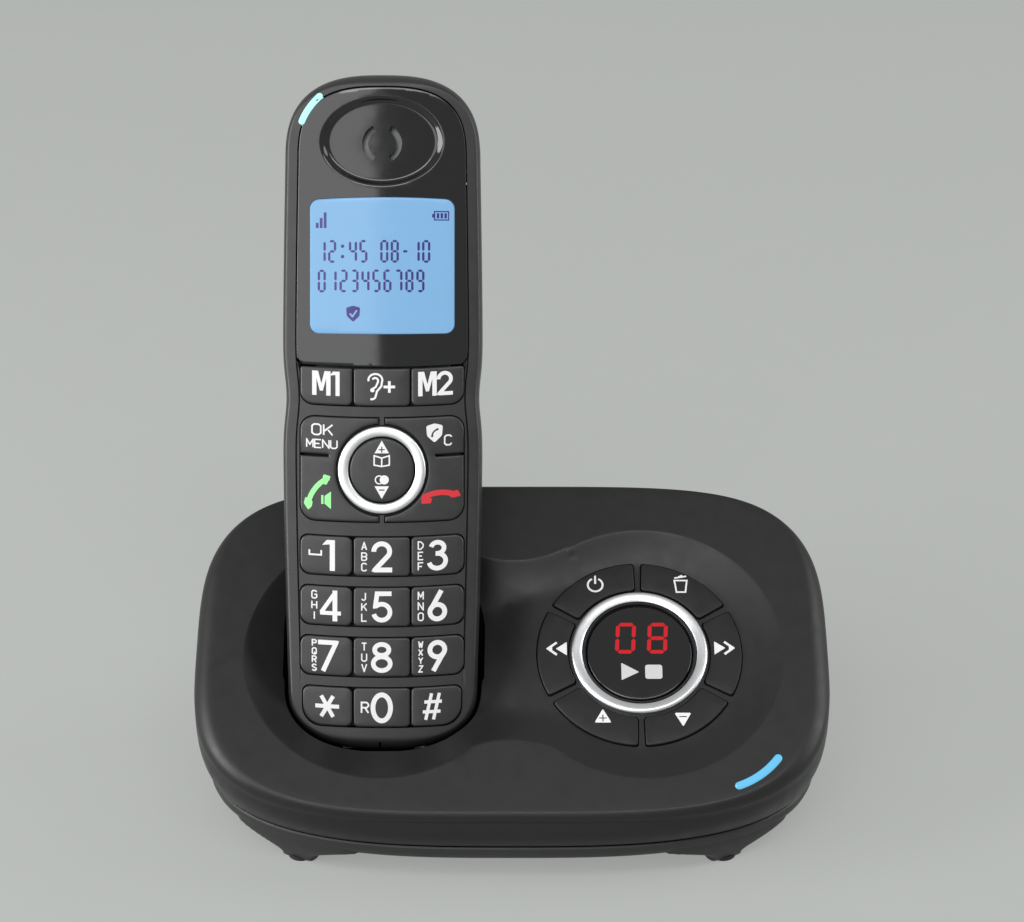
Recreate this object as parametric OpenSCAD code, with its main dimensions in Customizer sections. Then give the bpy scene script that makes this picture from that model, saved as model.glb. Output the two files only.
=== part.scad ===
// Cordless telephone handset standing in a sloped base with an answering machine.
// Origin: on the table, under the middle of the whole object's plan. +Z up, +X to the
// user's right, the user sits towards -Y. All sizes are in millimetres.

/* [Handset body] */
// Length of the handset from its bottom end to its top end
handset_length = 170; // [165:1:210]
// Greatest width of the handset
handset_width = 50.2; // [48:0.2:62]
// Thickness of the handset, face to back
handset_thickness = 25; // [24:0.5:30]
// Depth of the front cover, from the face to the joint between the two covers
front_cover_depth = 10; // [9:0.5:12]
// Radius of the gentle crown across the handset's face
face_crown_r = 150; // [120:5:400]
// Wall of the handset's covers
handset_wall = 1.8; // [1.5:0.1:2.2]
// Thickness of the front cover at the middle of its face, where the keys pass through
face_wall = 3; // [2.8:0.1:3.4]

/* [Keypad] */
// Height of the lowest key row's lower edge above the bottom end
first_row_z = 6.2; // [5.6:0.1:12]
// Height of a digit key
digit_key_h = 9.8; // [8.6:0.1:11.8]
// Web of the cover between two digit rows
row_gap = 2.8; // [2.2:0.1:3.6]
// Half the width of the middle column of keys
column_half = 7.05; // [6:0.05:8]
// Margin from the handset's side to the outer keys
key_side_margin = 4.6; // [4:0.1:6]
// Height of the block of function keys round the navigation key
function_block_h = 26.6; // [25.6:0.1:31]
// Height of the memory keys
memory_key_h = 9.4; // [8:0.1:11.2]
// Web between the function block and its neighbours
block_gap = 2.7; // [2.4:0.1:4]
// Travel of a key
key_travel = 0.8; // [0.5:0.1:0.9]
// How far the keys stand proud of the face
key_proud = 0.5; // [0.3:0.1:0.8]
// Outer radius of the bright ring round the navigation key
nav_ring_r = 11; // [10:0.1:12.2]
// Width of that bright ring
nav_ring_w = 2.65; // [2:0.05:3.2]

/* [Display] */
// Width of the display's clear lens
lens_w = 36.2; // [30:0.2:38]
// Height of the display's clear lens
lens_h = 33.4; // [26:0.2:36]
// Gap from the top of the memory keys to the lens
lens_above_keys = 8.8; // [6:0.2:12]
// Width of the earpiece dish
ear_w = 29.5; // [24:0.5:32]
// Height of the earpiece dish
ear_h = 21; // [16:0.5:24]

/* [Battery] */
// Diameter of one cell
cell_d = 10.5; // [10:0.1:11]
// Length of one cell
cell_l = 44.5; // [40:0.5:52]
// Height of the battery door's lower edge above the bottom end
door_z = 72; // [70:1:80]

/* [Base body] */
// Width of the base at its widest
base_width = 160.6; // [150:1:194]
// Depth of the base along its slope
base_depth = 96; // [90:1:115]
// Slope of the base's top face above the table, in degrees
slope = 28; // [24:1:30]
// Height of the middle of the top face above the table
slope_z = 45; // [44:0.5:54]
// Height of the joint between the base's two covers
joint_z = 11.5; // [11:0.5:13]
// Height of the underside above the table
underside_z = 6.5; // [5.5:0.5:7.5]
// Wall of the base's covers
base_wall = 2.2; // [1.8:0.1:2.6]
// Radius that rounds the top face into the sides
top_round = 6; // [4:0.5:7]

/* [Cradle] */
// Lean of the handset back from upright, in degrees
lean = 30; // [28:1:33]
// Distance from the base's side to the middle of the cradle
cradle_inset = 47.7; // [46:0.1:60]
// Radius of the round hollow about the cradle
cradle_dish_r = 35.3; // [34:0.1:40]
// Depth of that hollow below the top face
cradle_dish_depth = 7; // [6:0.5:8]
// Gap all round the handset in its well
well_gap = 0.9; // [0.6:0.1:1.4]
// Wall of the well
well_wall = 1.6; // [1.2:0.1:2]

/* [Answering machine keys] */
// Distance from the base's side to the middle of the key ring
keys_inset = 48; // [44:0.1:56]
// Radius of the hollow about the key ring
keys_dish_r = 35.3; // [33:0.1:38]
// Depth of that hollow below the top face
keys_dish_depth = 3; // [2:0.5:4]
// Outer radius of the ring of keys
key_ring_r = 26.2; // [24:0.2:31.4]
// Outer radius of the bright ring
bright_ring_r = 17.3; // [16:0.1:18]
// Outer radius of the play key inside the bright ring
play_key_r = 13.4; // [12:0.1:14]
// Angle between two neighbouring keys, in degrees
key_gap_deg = 3.4; // [2.5:0.1:5]

/* [Fits] */
// Clearance between a moving key and its hole
key_clearance = 0.25; // [0.2:0.05:0.3]
// Clearance between fixed pieces
fixed_clearance = 0.1; // [0.05:0.05:0.2]

/* [Hidden] */
$fn = 48;

// A value that goes past a surface, so that a cut is clean
over = 1;

// ---- Handset outline -------------------------------------------------------
// The two ends are superellipse quarters, joined by gently bowed sides with a waist.
bottom_end_h = 16;
top_end_h = 22;
bottom_end_n = 2.5;
top_end_n = 2.7;
end_steps = 8;
side_steps = 12;
side_bow = 0.95;
waist_depth = 0.9;
waist_spread = 7;
side_taper = 0.8;
side_top_z = handset_length - top_end_h;
side_span = side_top_z - bottom_end_h;
end_half = handset_width / 2 - 1.3;
waist_z = first_row_z + 4 * digit_key_h + 3 * row_gap + function_block_h + 9;

function side_half(z) = end_half + side_taper * (z - bottom_end_h) / side_span
    + side_bow * sin(180 * (z - bottom_end_h) / side_span)
    - waist_depth * exp(-pow((z - waist_z) / waist_spread, 2));
function quarter(half, h, n, a) = [half * pow(cos(a), 2 / n), h * pow(sin(a), 2 / n)];
right_side = concat(
    [for (i = [0:end_steps - 1])
        let (q = quarter(end_half, bottom_end_h, bottom_end_n, 90 - 90 * i / end_steps))
        [q[0], bottom_end_h - q[1]]],
    [for (i = [0:side_steps - 1])
        let (z = bottom_end_h + side_span * i / side_steps) [side_half(z), z]],
    [for (i = [0:end_steps])
        let (q = quarter(side_half(side_top_z), top_end_h, top_end_n, 90 * i / end_steps))
        [q[0], side_top_z + q[1]]]);
side_count = len(right_side);
outline = concat(right_side,
    [for (i = [side_count - 2:-1:1]) [-right_side[i][0], right_side[i][1]]]);
outline_count = len(outline);

function unit(v) = v / norm(v);
// The outward direction of the outline at point i
function outward(i) =
    let (d = unit(outline[(i + 1) % outline_count]
        - outline[(i + outline_count - 1) % outline_count]))
    [d[1], -d[0]];
// The outline moved inwards
function inset_outline(o) = [for (i = [0:outline_count - 1]) outline[i] - o * outward(i)];
// One ring of the handset's skin: the inset outline at depth y
function handset_ring(o, y) = [for (p = inset_outline(o)) [p[0], y, p[1]]];

// Inset and depth of each ring, face first, then back
front_profile = [[4.2, -0.3], [1.6, 0.85], [0.4, 2.6], [0, 5.2]];
rear_profile = [[0.5, -9], [2.1, -4.9], [4.8, -1.9], [8.2, -0.45], [11.2, 0]];
front_rings = [for (k = front_profile) handset_ring(k[0], k[1])];
joint_ring = handset_ring(0, front_cover_depth);
rear_rings = [for (k = rear_profile) handset_ring(k[0], handset_thickness + k[1])];

module skin(rings) {
    n = len(rings[0]);
    last = len(rings) - 1;
    points = [for (r = rings) for (p = r) p];
    sides = [for (i = [0:last - 1]) for (j = [0:n - 1])
        let (k = (j + 1) % n)
        for (f = [[i * n + j, i * n + k, (i + 1) * n + k],
            [i * n + j, (i + 1) * n + k, (i + 1) * n + j]]) f];
    first_cap = [for (j = [n - 1:-1:0]) j];
    last_cap = [for (j = [0:n - 1]) last * n + j];
    polyhedron(points, concat([first_cap], sides, [last_cap]), convexity = 6);
}

// ---- Handset layout along its length ----------------------------------------
row_pitch = digit_key_h + row_gap;
keypad_top_z = first_row_z + 4 * digit_key_h + 3 * row_gap;
function_z = keypad_top_z + block_gap + 0.8;
nav_z = function_z + function_block_h / 2 - 0.2;
memory_z = function_z + function_block_h + block_gap;
fascia_z = memory_z + memory_key_h + 0.45;
lens_z = memory_z + memory_key_h + lens_above_keys + lens_h / 2;
ear_z = handset_length - 17.2;
outer_key_x = handset_width / 2 - key_side_margin;
column_gap = 0.35;
key_corner_r = 1.6;
nav_key_r = nav_ring_r - nav_ring_w - key_clearance;

// Depth of the pieces behind the face
key_back_y = face_wall + 0.7;
rocker_back_y = face_wall + 1.2;
mat_y = face_wall + 1.9;
mat_t = 0.8;
board_y = mat_y + mat_t + fixed_clearance;
board_t = 1;
lens_t = 2.2;

// ---- Placing -----------------------------------------------------------------
half_width = base_width / 2;
half_depth = base_depth / 2;
cradle_x = -(half_width - cradle_inset);
keys_x = half_width - keys_inset;
keys_s = -2.7;
hollow_s = -3.4;
handset_y = -20;
handset_z = slope_z - 20.4;
well_floor_z = 0.6;

function leaned(p) = [p[0], p[1] * cos(lean) + p[2] * sin(lean), -p[1] * sin(lean) + p[2] * cos(lean)];
// The middle of the whole object's plan, between the handset's back and the base's front
handset_rear_y = handset_y + max([for (r = rear_rings) for (p = r) leaned(p)[1]]);

module place() translate([0, -plan_middle_y, 0]) children();
module in_handset() place() translate([cradle_x, handset_y, handset_z]) rotate([-lean, 0, 0])
    children();
module in_slope() place() translate([0, 0, slope_z]) rotate([slope, 0, 0]) children();

// ---- Base skin ---------------------------------------------------------------
base_steps = 64;
foot_x = half_width - 27.3;
foot_y = half_depth - 18.6;
joint_half_x = half_width - 2.3;
joint_half_y = half_depth - 6;
// The top face is squarer at its corners than the joint is
top_nx = 4;
top_ny = 3.6;
wide_nx = 3.6;
wide_ny = 3;
joint_nx = 3;
joint_ny = 2.4;
top_middle_s = -1.5;
front_round = 2;
side_drop = 3;
slope_normal = [0, -sin(slope), cos(slope)];

function signed_power(v, n) = sign(v) * pow(abs(v), n);
function base_ring(hx, hy, cy, cz, tilt, nx, ny) = [for (i = [0:base_steps - 1])
    let (a = 360 * i / base_steps, s = hy * signed_power(sin(a), 2 / ny))
    [hx * signed_power(cos(a), 2 / nx), cy + s * cos(tilt), cz + s * sin(tilt)]];
// A ring of the joint's outline, moved in by o at height z
function joint_outline(o, z) = base_ring(joint_half_x - o, joint_half_y - o, 0, z, 0, joint_nx, joint_ny);
// The flat top face's outline, moved in by o and down by d
function face_ring(o, d) = base_ring(half_width - top_round - o, half_depth - front_round - o,
    top_middle_s * cos(slope) + d * sin(slope), slope_z + top_middle_s * sin(slope) - d * cos(slope),
    slope, top_nx, top_ny);
flat_ring = face_ring(0, 0);
widest_ring = [for (p = base_ring(half_width, half_depth - 0.2, -0.4, slope_z - 3, slope, wide_nx, wide_ny))
    p - [0, 0, side_drop * pow(abs(p[0]) / half_width, 3)]];
function mixed(a, b, f) = [for (i = [0:len(a) - 1]) a[i] * (1 - f) + b[i] * f];
// A ring moved in by w across the plan, measured from the axis
function drawn_in(r, w) = [for (p = r)
    let (d = norm([p[0], p[1]])) [p[0] * (1 - w / d), p[1] * (1 - w / d), p[2]]];
// The ring at angle a round the edge between the top face and the widest ring
function edge_ring(a) = [for (i = [0:base_steps - 1])
    let (v = widest_ring[i] - flat_ring[i], down = v * slope_normal)
    flat_ring[i] + (v - down * slope_normal) * sin(a) + down * (1 - cos(a)) * slope_normal];

base_joint_ring = joint_outline(0, joint_z);
wall_bulge = 1;
wall_rings = [for (f = [1 / 3, 2 / 3])
    drawn_in(mixed(widest_ring, base_joint_ring, f), -wall_bulge * sin(180 * f))];
top_cover_rings = concat([for (a = [0, 28, 58, 90]) edge_ring(a)], wall_rings, [base_joint_ring]);
base_front_y = min([for (r = wall_rings) for (p = r) p[1]]);
plan_middle_y = (handset_rear_y + base_front_y) / 2;

module top_cover_solid() place() skin(top_cover_rings);
module top_cover_cavity() place() skin(concat(
    [face_ring(base_wall, base_wall)],
    [drawn_in(widest_ring, base_wall)],
    [for (r = wall_rings) drawn_in(r, base_wall)],
    [joint_outline(base_wall, joint_z), joint_outline(base_wall, joint_z - over)]));

// ---- Shared 2D shapes ---------------------------------------------------------
module rounded_box_2d(w, h, r) {
    square([w - 2 * r, h], center = true);
    square([w, h - 2 * r], center = true);
    for (x = [-1, 1], y = [-1, 1])
        translate([x * (w / 2 - r), y * (h / 2 - r)]) circle(r);
}
module oval_2d(w, h) polygon([for (i = [0:47]) [w / 2 * cos(7.5 * i), h / 2 * sin(7.5 * i)]]);
module ring_3d(outer, inner, h) difference() {
    cylinder(r = outer, h = h);
    translate([0, 0, -over]) cylinder(r = inner, h = h + 2 * over);
}
// Extrudes a 2D shape drawn in x and z from depth y0 to depth y1 of the handset
module through_face(y0, y1) translate([0, y1, 0]) rotate([90, 0, 0])
    linear_extrude(height = y1 - y0) children();
// The face's crown, as a cylinder that stands proud by p
module crown(p) translate([0, face_crown_r, -over])
    cylinder(r = face_crown_r + p, h = handset_length + 2 * over, $fn = 200);

// ---- Handset pieces -------------------------------------------------------------
function row_z(row) = first_row_z + (3 - row) * row_pitch;
function column_x0(column) = column == 0 ? -outer_key_x : column == 1 ? -column_half : column_half + column_gap;
function column_x1(column) = column == 0 ? -column_half - column_gap : column == 1 ? column_half : outer_key_x;

// One key's outline in x and z, grown by g
module key_2d(column, z0, h, g) {
    x0 = column_x0(column);
    x1 = column_x1(column);
    translate([(x0 + x1) / 2, z0 + h / 2])
        rounded_box_2d(x1 - x0 + 2 * g, h + 2 * g, key_corner_r + g);
}
// A row of three keys shares one hole, because the keys nearly touch
module row_hole_2d(z0, h) translate([0, z0 + h / 2])
    rounded_box_2d(2 * (outer_key_x + key_clearance), h + 2 * key_clearance,
        key_corner_r + key_clearance);

key_flange = 0.7;
module push_key(column, z0, h, low_flange = key_flange) color([0.13, 0.13, 0.14]) in_handset() {
    intersection() {
        through_face(-over, key_back_y) key_2d(column, z0, h, 0);
        crown(key_proud);
    }
    x0 = column_x0(column);
    x1 = column_x1(column);
    through_face(face_wall + 0.1, key_back_y) translate([x0 + key_corner_r, z0 - low_flange])
        square([x1 - x0 - 2 * key_corner_r, h + low_flange + key_flange]);
}
// The lowest row has no lower flange, because the cover curves in under it
module digit_key(column, row)
    push_key(column, row_z(row), digit_key_h, row == 3 ? 0 : key_flange);
module memory_key(column) push_key(column, memory_z, memory_key_h);

// The function block's left or right half, less the round middle, moved in by g
function_web = 0.9;
module function_half_2d(side, g) difference() {
    w = outer_key_x - function_web;
    translate([side * (function_web + w / 2), function_z + function_block_h / 2])
        rounded_box_2d(w - 2 * g, function_block_h - 2 * g, 3.4 - g);
    translate([0, nav_z]) circle(nav_ring_r + 0.35 + g);
}
rocker_z = function_z + function_block_h / 2;
slot_z = nav_z + 3.6;
slot_l = 6.9;
slot_h = 0.9;
module function_key(side) color([0.13, 0.13, 0.14]) in_handset() difference() {
    union() {
        intersection() {
            through_face(-over, rocker_back_y) function_half_2d(side, key_clearance);
            crown(key_proud);
        }
        through_face(rocker_back_y - 0.6, rocker_back_y)
            translate([side * (outer_key_x - 5), rocker_z])
                square([6, function_block_h + 2 * key_flange], center = true);
    }
    translate([side * (outer_key_x + over), 0, slot_z]) rotate([0, -90 * side, 0])
        translate([-slot_h / 2, -over * 2, 0]) cube([slot_h, key_back_y + 3 * over, slot_l + over]);
}
module navigation_key() color([0.13, 0.13, 0.14]) in_handset() translate([0, 0, nav_z]) {
    translate([0, rocker_back_y, 0]) rotate([90, 0, 0])
        cylinder(r = nav_key_r, h = rocker_back_y + key_proud);
    translate([0, rocker_back_y, 0]) rotate([90, 0, 0])
        cylinder(r = nav_key_r + 0.8, h = 0.55);
}
ring_seat_y = 1.1;
module navigation_ring() color([0.75, 0.75, 0.76]) in_handset()
    translate([0, ring_seat_y, nav_z]) rotate([90, 0, 0])
        ring_3d(nav_ring_r, nav_ring_r - nav_ring_w, ring_seat_y + key_proud + 0.1);

// The gloss fascia runs from the memory keys to the top, inside the cover's rim
fascia_rim = 3.5;
module fascia_2d(g) difference() {
    polygon([for (p = inset_outline(fascia_rim - g)) p]);
    translate([0, (fascia_z - g) / 2 - over]) square([handset_width, fascia_z - g + 2 * over], center = true);
}
module lens_2d(g) translate([0, lens_z]) rounded_box_2d(lens_w + 2 * g, lens_h + 2 * g, 2 + g);
module front_fascia() color([0.03, 0.03, 0.03]) in_handset() difference() {
    intersection() {
        through_face(-over, lens_t) fascia_2d(0);
        crown(0);
    }
    through_face(-2 * over, lens_t + over) lens_2d(fixed_clearance);
    through_face(-2 * over, 1.3) translate([0, ear_z]) oval_2d(ear_w, ear_h);
    translate([0, -over, ear_z]) rotate([-90, 0, 0])
        for (a = [-65, 115]) rotate([0, 0, a]) rotate_extrude(angle = 130)
            translate([3.5, 0]) square([1.4, lens_t + 2 * over]);
    handset_pipe_slot(lens_t + over);
}
module display_lens() color([0.55, 0.75, 0.95, 0.4]) in_handset() intersection() {
    through_face(-over, lens_t) lens_2d(0);
    crown(0);
}

// The charging light is an arc that follows the upper left corner
pipe_r = 17;
pipe_w = 1.8;
pipe_centre = [-4.5, handset_length - 18.7];
pipe_from = 131;
pipe_to = 157;
pipe_front_y = 0.8;
pipe_back_y = face_wall + 1.5;
module handset_pipe_slot(y1) translate([pipe_centre[0], y1, pipe_centre[1]]) rotate([90, 0, 0])
    rotate([0, 0, pipe_from - 3.5]) rotate_extrude(angle = pipe_to - pipe_from + 7)
        translate([pipe_r - pipe_w / 2 - fixed_clearance, 0]) square([pipe_w + 2 * fixed_clearance, y1 + 2 * over]);
module handset_light_pipe() color([0.7, 1, 0.96]) in_handset()
    translate([pipe_centre[0], pipe_back_y, pipe_centre[1]]) rotate([90, 0, 0]) {
        rotate([0, 0, pipe_from - 3]) rotate_extrude(angle = pipe_to - pipe_from + 6)
            translate([pipe_r - pipe_w / 2, 0]) square([pipe_w, pipe_back_y - pipe_front_y]);
    }

// Screw bosses, in x and z, beside the keypad and the earpiece
boss_x = handset_width / 2 - 5.1;
boss_r = 2.7;
boss_y = board_y;
rib_w = 2.4;
screw_r = 1.1;
head_r = 2.1;
head_seat_y = 15;
pilot_y = front_cover_depth - 4;
bosses = [for (z = [30, handset_length - 24], x = [-1, 1]) [x * boss_x, z]];

module handset_front_cover() color([0.11, 0.11, 0.12]) in_handset() difference() {
    union() {
        difference() {
            intersection() {
                skin(concat(front_rings, [joint_ring]));
                crown(0);
            }
            skin([handset_ring(handset_wall + 2.2, face_wall), handset_ring(handset_wall, 5.5),
                handset_ring(handset_wall, front_cover_depth + over)]);
        }
        for (b = bosses) {
            translate([b[0], front_cover_depth, b[1]]) rotate([90, 0, 0])
                cylinder(r = boss_r, h = front_cover_depth - boss_y);
            translate([b[0] + sign(b[0]) * 1.7, (front_cover_depth + boss_y) / 2, b[1]])
                cube([3.4, front_cover_depth - boss_y, rib_w], center = true);
        }
    }
    for (b = bosses) translate([b[0], front_cover_depth + over, b[1]]) rotate([90, 0, 0])
        cylinder(r = screw_r + 0.05, h = front_cover_depth + over - pilot_y + 0.1);
    // The rows' holes run back to the mat, so that the keys clear the curved sides when pressed
    for (row = [0:3]) through_face(-over, mat_y) row_hole_2d(row_z(row), digit_key_h);
    through_face(-over, face_wall + over) row_hole_2d(memory_z, memory_key_h);
    for (side = [-1, 1]) through_face(-over, face_wall + over) function_half_2d(side, 0);
    translate([0, face_wall + over, nav_z]) rotate([90, 0, 0])
        cylinder(r = nav_key_r + key_clearance + 0.15, h = face_wall + 3 * over);
    translate([0, ring_seat_y, nav_z]) rotate([90, 0, 0])
        cylinder(r = nav_ring_r + fixed_clearance, h = ring_seat_y + 2 * over);
    through_face(-2 * over, lens_t + 0.05) fascia_2d(fixed_clearance);
    through_face(-over, face_wall + over) lens_2d(-0.8);
    translate([0, face_wall + over, ear_z]) rotate([90, 0, 0]) cylinder(r = 6, h = face_wall + over);
    handset_pipe_slot(pipe_back_y + 0.3);
    translate([0, face_wall + over, microphone_z - 1.2]) rotate([90, 0, 0]) cylinder(r = 0.6, h = face_wall + 3 * over);
}

// Battery bay in the rear cover
cell_y = handset_thickness - 7.6;
spring_l = 2.8;
plate_t = 0.4;
door_h = cell_l + spring_l + 4.9;
door_half = handset_width / 2 - 11.9;
door_t = 1.55;
door_seat_y = handset_thickness - door_t - 0.05;
bay_half = cell_d + 0.8;
bay_z0 = door_z + 2;
bay_z1 = door_z + door_h - 2;
bay_y = cell_y - cell_d / 2 - 0.4;

module ringer_slots() for (i = [-3:3]) translate([i * 2.6, handset_thickness - 3, ringer_z])
    rotate([-90, 0, 0]) linear_extrude(height = 5) rounded_box_2d(1.1, 12 - abs(i) * 1.6, 0.5);
ringer_z = handset_length - 24;
ringer_r = 9.5;
pad_x = 9;
pad_y = 14;
pad_w = 5;
pad_d = 3;
// The bottom end's height at the charging pads
pad_z = 1.2;

module handset_rear_cover() color([0.12, 0.12, 0.13]) in_handset() difference() {
    union() {
        difference() {
            skin(concat([joint_ring], rear_rings));
            skin([handset_ring(handset_wall, front_cover_depth - over),
                handset_ring(handset_wall + 0.4, handset_thickness - 9.6),
                handset_ring(handset_wall + 3.2, handset_thickness - 4.4),
                handset_ring(handset_wall + 9, handset_thickness - 2)]);
        }
        translate([-bay_half - 1.2, bay_y - 1.2, bay_z0 - 1.2])
            cube([2 * bay_half + 2.4, handset_thickness - bay_y - 0.5, bay_z1 - bay_z0 + 2.4]);
        for (b = bosses) translate([b[0], handset_thickness - 7.4, b[1]]) rotate([90, 0, 0])
            cylinder(r = boss_r, h = handset_thickness - 7.4 - front_cover_depth - 0.1);
    }
    translate([-bay_half, bay_y, bay_z0])
        cube([2 * bay_half, handset_thickness, bay_z1 - bay_z0]);
    translate([-door_half, door_seat_y, door_z])
        cube([2 * door_half, 2 * over + door_t, door_h]);
    for (b = bosses) {
        translate([b[0], handset_thickness + over, b[1]]) rotate([90, 0, 0])
            cylinder(r = screw_r + 0.15, h = handset_thickness);
        translate([b[0], handset_thickness + over, b[1]]) rotate([90, 0, 0])
            cylinder(r = head_r + 0.15, h = handset_thickness + over - head_seat_y);
    }
    ringer_slots();
    for (s = [-1, 1]) translate([s * pad_x - pad_w / 2 - 0.05, pad_y - pad_d / 2 - 0.05, -over])
        cube([pad_w + 0.1, pad_d + 0.1, 5]);
}
module battery_door() color([0.12, 0.12, 0.13]) in_handset() difference() {
    union() {
        translate([-door_half + 0.2, door_seat_y + 0.05, door_z + 0.2])
            cube([2 * door_half - 0.4, door_t, door_h - 0.4]);
        for (s = [-1, 1]) translate([s * bay_half * 0.6 - 2, door_seat_y - 1.2, bay_z1 - 1.4])
            cube([4, 1.4, 1.2]);
    }
    for (i = [0:4]) translate([-5, handset_thickness - 0.5, door_z + 4 + i * 1.8])
        cube([10, over, 0.8]);
}
module battery_cells() color([0.2, 0.45, 0.3]) in_handset()
    for (s = [-1, 1]) translate([s * (cell_d / 2 + 0.15), cell_y, bay_z0 + (s > 0 ? spring_l + 0.1 : 1.5)]) {
        cylinder(d = cell_d, h = cell_l - 1);
        translate([0, 0, s > 0 ? cell_l - 1 : -1]) cylinder(d = 3.8, h = 1);
    }
module battery_contacts() color([0.8, 0.78, 0.7]) in_handset() for (s = [-1, 1]) {
    translate([s * (cell_d / 2 + 0.15), cell_y, 0]) {
        translate([-4, -4, bay_z0 + 0.05]) cube([8, 8, plate_t]);
        translate([-4, -4, bay_z1 - 0.05 - plate_t]) cube([8, 8, plate_t]);
        // A coil spring's turns, standing on the plate at the cell's flat end
        for (i = [0:2]) translate([0, 0, s > 0 ? bay_z0 + 0.85 + 0.75 * i : bay_z1 - 0.85 - 0.75 * i])
            rotate_extrude() translate([3.4 - 0.4 * i, 0]) circle(0.37);
    }
}
module keypad_mat() color([0.3, 0.3, 0.32]) in_handset()
    through_face(mat_y, mat_y + mat_t) translate([0, (first_row_z + memory_z + memory_key_h) / 2])
        rounded_box_2d(2 * outer_key_x - 1.6, memory_z + memory_key_h - first_row_z + 0.6, 6);
board_z0 = 9;
board_z1 = handset_length - 29;
module handset_circuit_board() color([0.05, 0.3, 0.15]) in_handset() {
    through_face(board_y, board_y + board_t) translate([0, (board_z0 + board_z1) / 2])
        rounded_box_2d(2 * (boss_x - boss_r - 0.3), board_z1 - board_z0, 2);
    // Radio screen can, processor and capacitor on the back
    translate([-13, board_y + board_t - 0.05, board_z1 - 26]) cube([18, 2.2, 20]);
    translate([-9, board_y + board_t - 0.05, 38]) cube([11, 1.2, 11]);
    translate([9, board_y + board_t - 0.05, 44]) rotate([-90, 0, 0]) cylinder(d = 5, h = 2.5);
}
backlight_t = 0.7;
module display_module() color([0.5, 0.7, 0.95]) in_handset()
    translate([-lens_w / 2 - 0.6, face_wall + 0.05, lens_z - lens_h / 2 - 2])
        cube([lens_w + 1.2, board_y - backlight_t - face_wall - 0.15, lens_h + 4]);
module display_backlight() color([0.9, 0.95, 1]) in_handset()
    translate([-lens_w / 2 - 0.6, board_y - backlight_t - 0.05, lens_z - lens_h / 2 - 2])
        cube([lens_w + 1.2, backlight_t, lens_h + 4]);
module earpiece_speaker() color([0.35, 0.35, 0.36]) in_handset() translate([0, 0, ear_z]) {
    translate([0, face_wall + 4.3, 0]) rotate([90, 0, 0]) cylinder(r = 7.5, h = 3);
    translate([0, face_wall + 6.3, 0]) rotate([90, 0, 0]) cylinder(r = 5, h = 2);
}
module earpiece_gasket() color([0.2, 0.2, 0.2]) in_handset()
    translate([0, face_wall + 1.25, ear_z]) rotate([90, 0, 0]) ring_3d(7.5, 6.1, 1.2);
// The microphone sits behind the mat's lower edge, below the board
microphone_z = 5.2;
module microphone() color([0.4, 0.4, 0.42]) in_handset()
    translate([0, board_y + 2.4, microphone_z]) rotate([90, 0, 0]) cylinder(r = 2, h = 2.2);
module ringer_speaker() color([0.25, 0.25, 0.26]) in_handset() translate([0, 0, ringer_z]) {
    translate([0, handset_thickness - 2.1, 0]) rotate([90, 0, 0]) cylinder(r = ringer_r, h = 2.4);
    translate([0, handset_thickness - 4.5, 0]) rotate([90, 0, 0]) cylinder(r = 6, h = 3);
}
module handset_charge_pads() color([0.8, 0.75, 0.6]) in_handset()
    for (s = [-1, 1]) translate([s * pad_x - pad_w / 2, pad_y - pad_d / 2, pad_z])
        cube([pad_w, pad_d, 1.4]);
module screw(shank_r, shank_l, cap_r, cap_h) {
    cylinder(r = shank_r, h = shank_l + 0.1);
    translate([0, 0, shank_l]) difference() {
        cylinder(r = cap_r, h = cap_h);
        for (a = [0, 90]) rotate([0, 0, a]) translate([-cap_r * 0.6, -0.3, cap_h - 0.7])
            cube([cap_r * 1.2, 0.6, over]);
    }
}
module handset_screws() color([0.4, 0.4, 0.42]) in_handset()
    for (b = bosses) translate([b[0], pilot_y, b[1]]) rotate([-90, 0, 0])
        screw(screw_r, head_seat_y - pilot_y + 0.05, head_r, 1.4);

// ---- Base pieces ------------------------------------------------------------------
// The handset's well: its bottom end's outline swept up along its own axis
well_top = 90;
module well(g) in_handset() {
    h = well_top + well_floor_z + g;
    difference() {
        skin(concat(
            [handset_ring(3.4 - g, -g), handset_ring(-g, 4)],
            [handset_ring(-g, handset_thickness - 10)],
            [handset_ring(4 - g, handset_thickness + g)]));
        translate([-handset_width, -handset_thickness, well_top])
            cube([2 * handset_width, 3 * handset_thickness, handset_length]);
    }
    translate([-end_half - g + 6, -g, -well_floor_z - g])
        cube([2 * (end_half + g - 6), handset_thickness + 2 * g - 4, h]);
}
// A round hollow in the top face, its side sloping in
module hollow(x, s, r, depth, g) translate([x, s, -depth - g])
    cylinder(r1 = r - depth - 2 + g * 0.5, r2 = r + g * 0.5 + 0.01, h = depth + g + 0.01);
waist_half = 25.6;
waist_fillet_r = 26.4;
module hollows(g) in_slope() {
    hollow(keys_x + 1, hollow_s, keys_dish_r, keys_dish_depth, g);
    hollow(cradle_x, hollow_s, cradle_dish_r, cradle_dish_depth, g);
    translate([0, keys_s, -keys_dish_depth - g]) linear_extrude(height = keys_dish_depth + g + 0.01)
        difference() {
            square([36, 2 * waist_half + 16 + g], center = true);
            for (side = [-1, 1]) translate([0, side * (waist_half + waist_fillet_r + g / 2)])
                circle(waist_fillet_r);
        }
}
key_ring_in = bright_ring_r + 0.5;
deck = keys_dish_depth;
deck_t = 2;
// Degrees that a millimetre spans at the keys' middle radius
deg_per_mm = 2.6;
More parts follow.
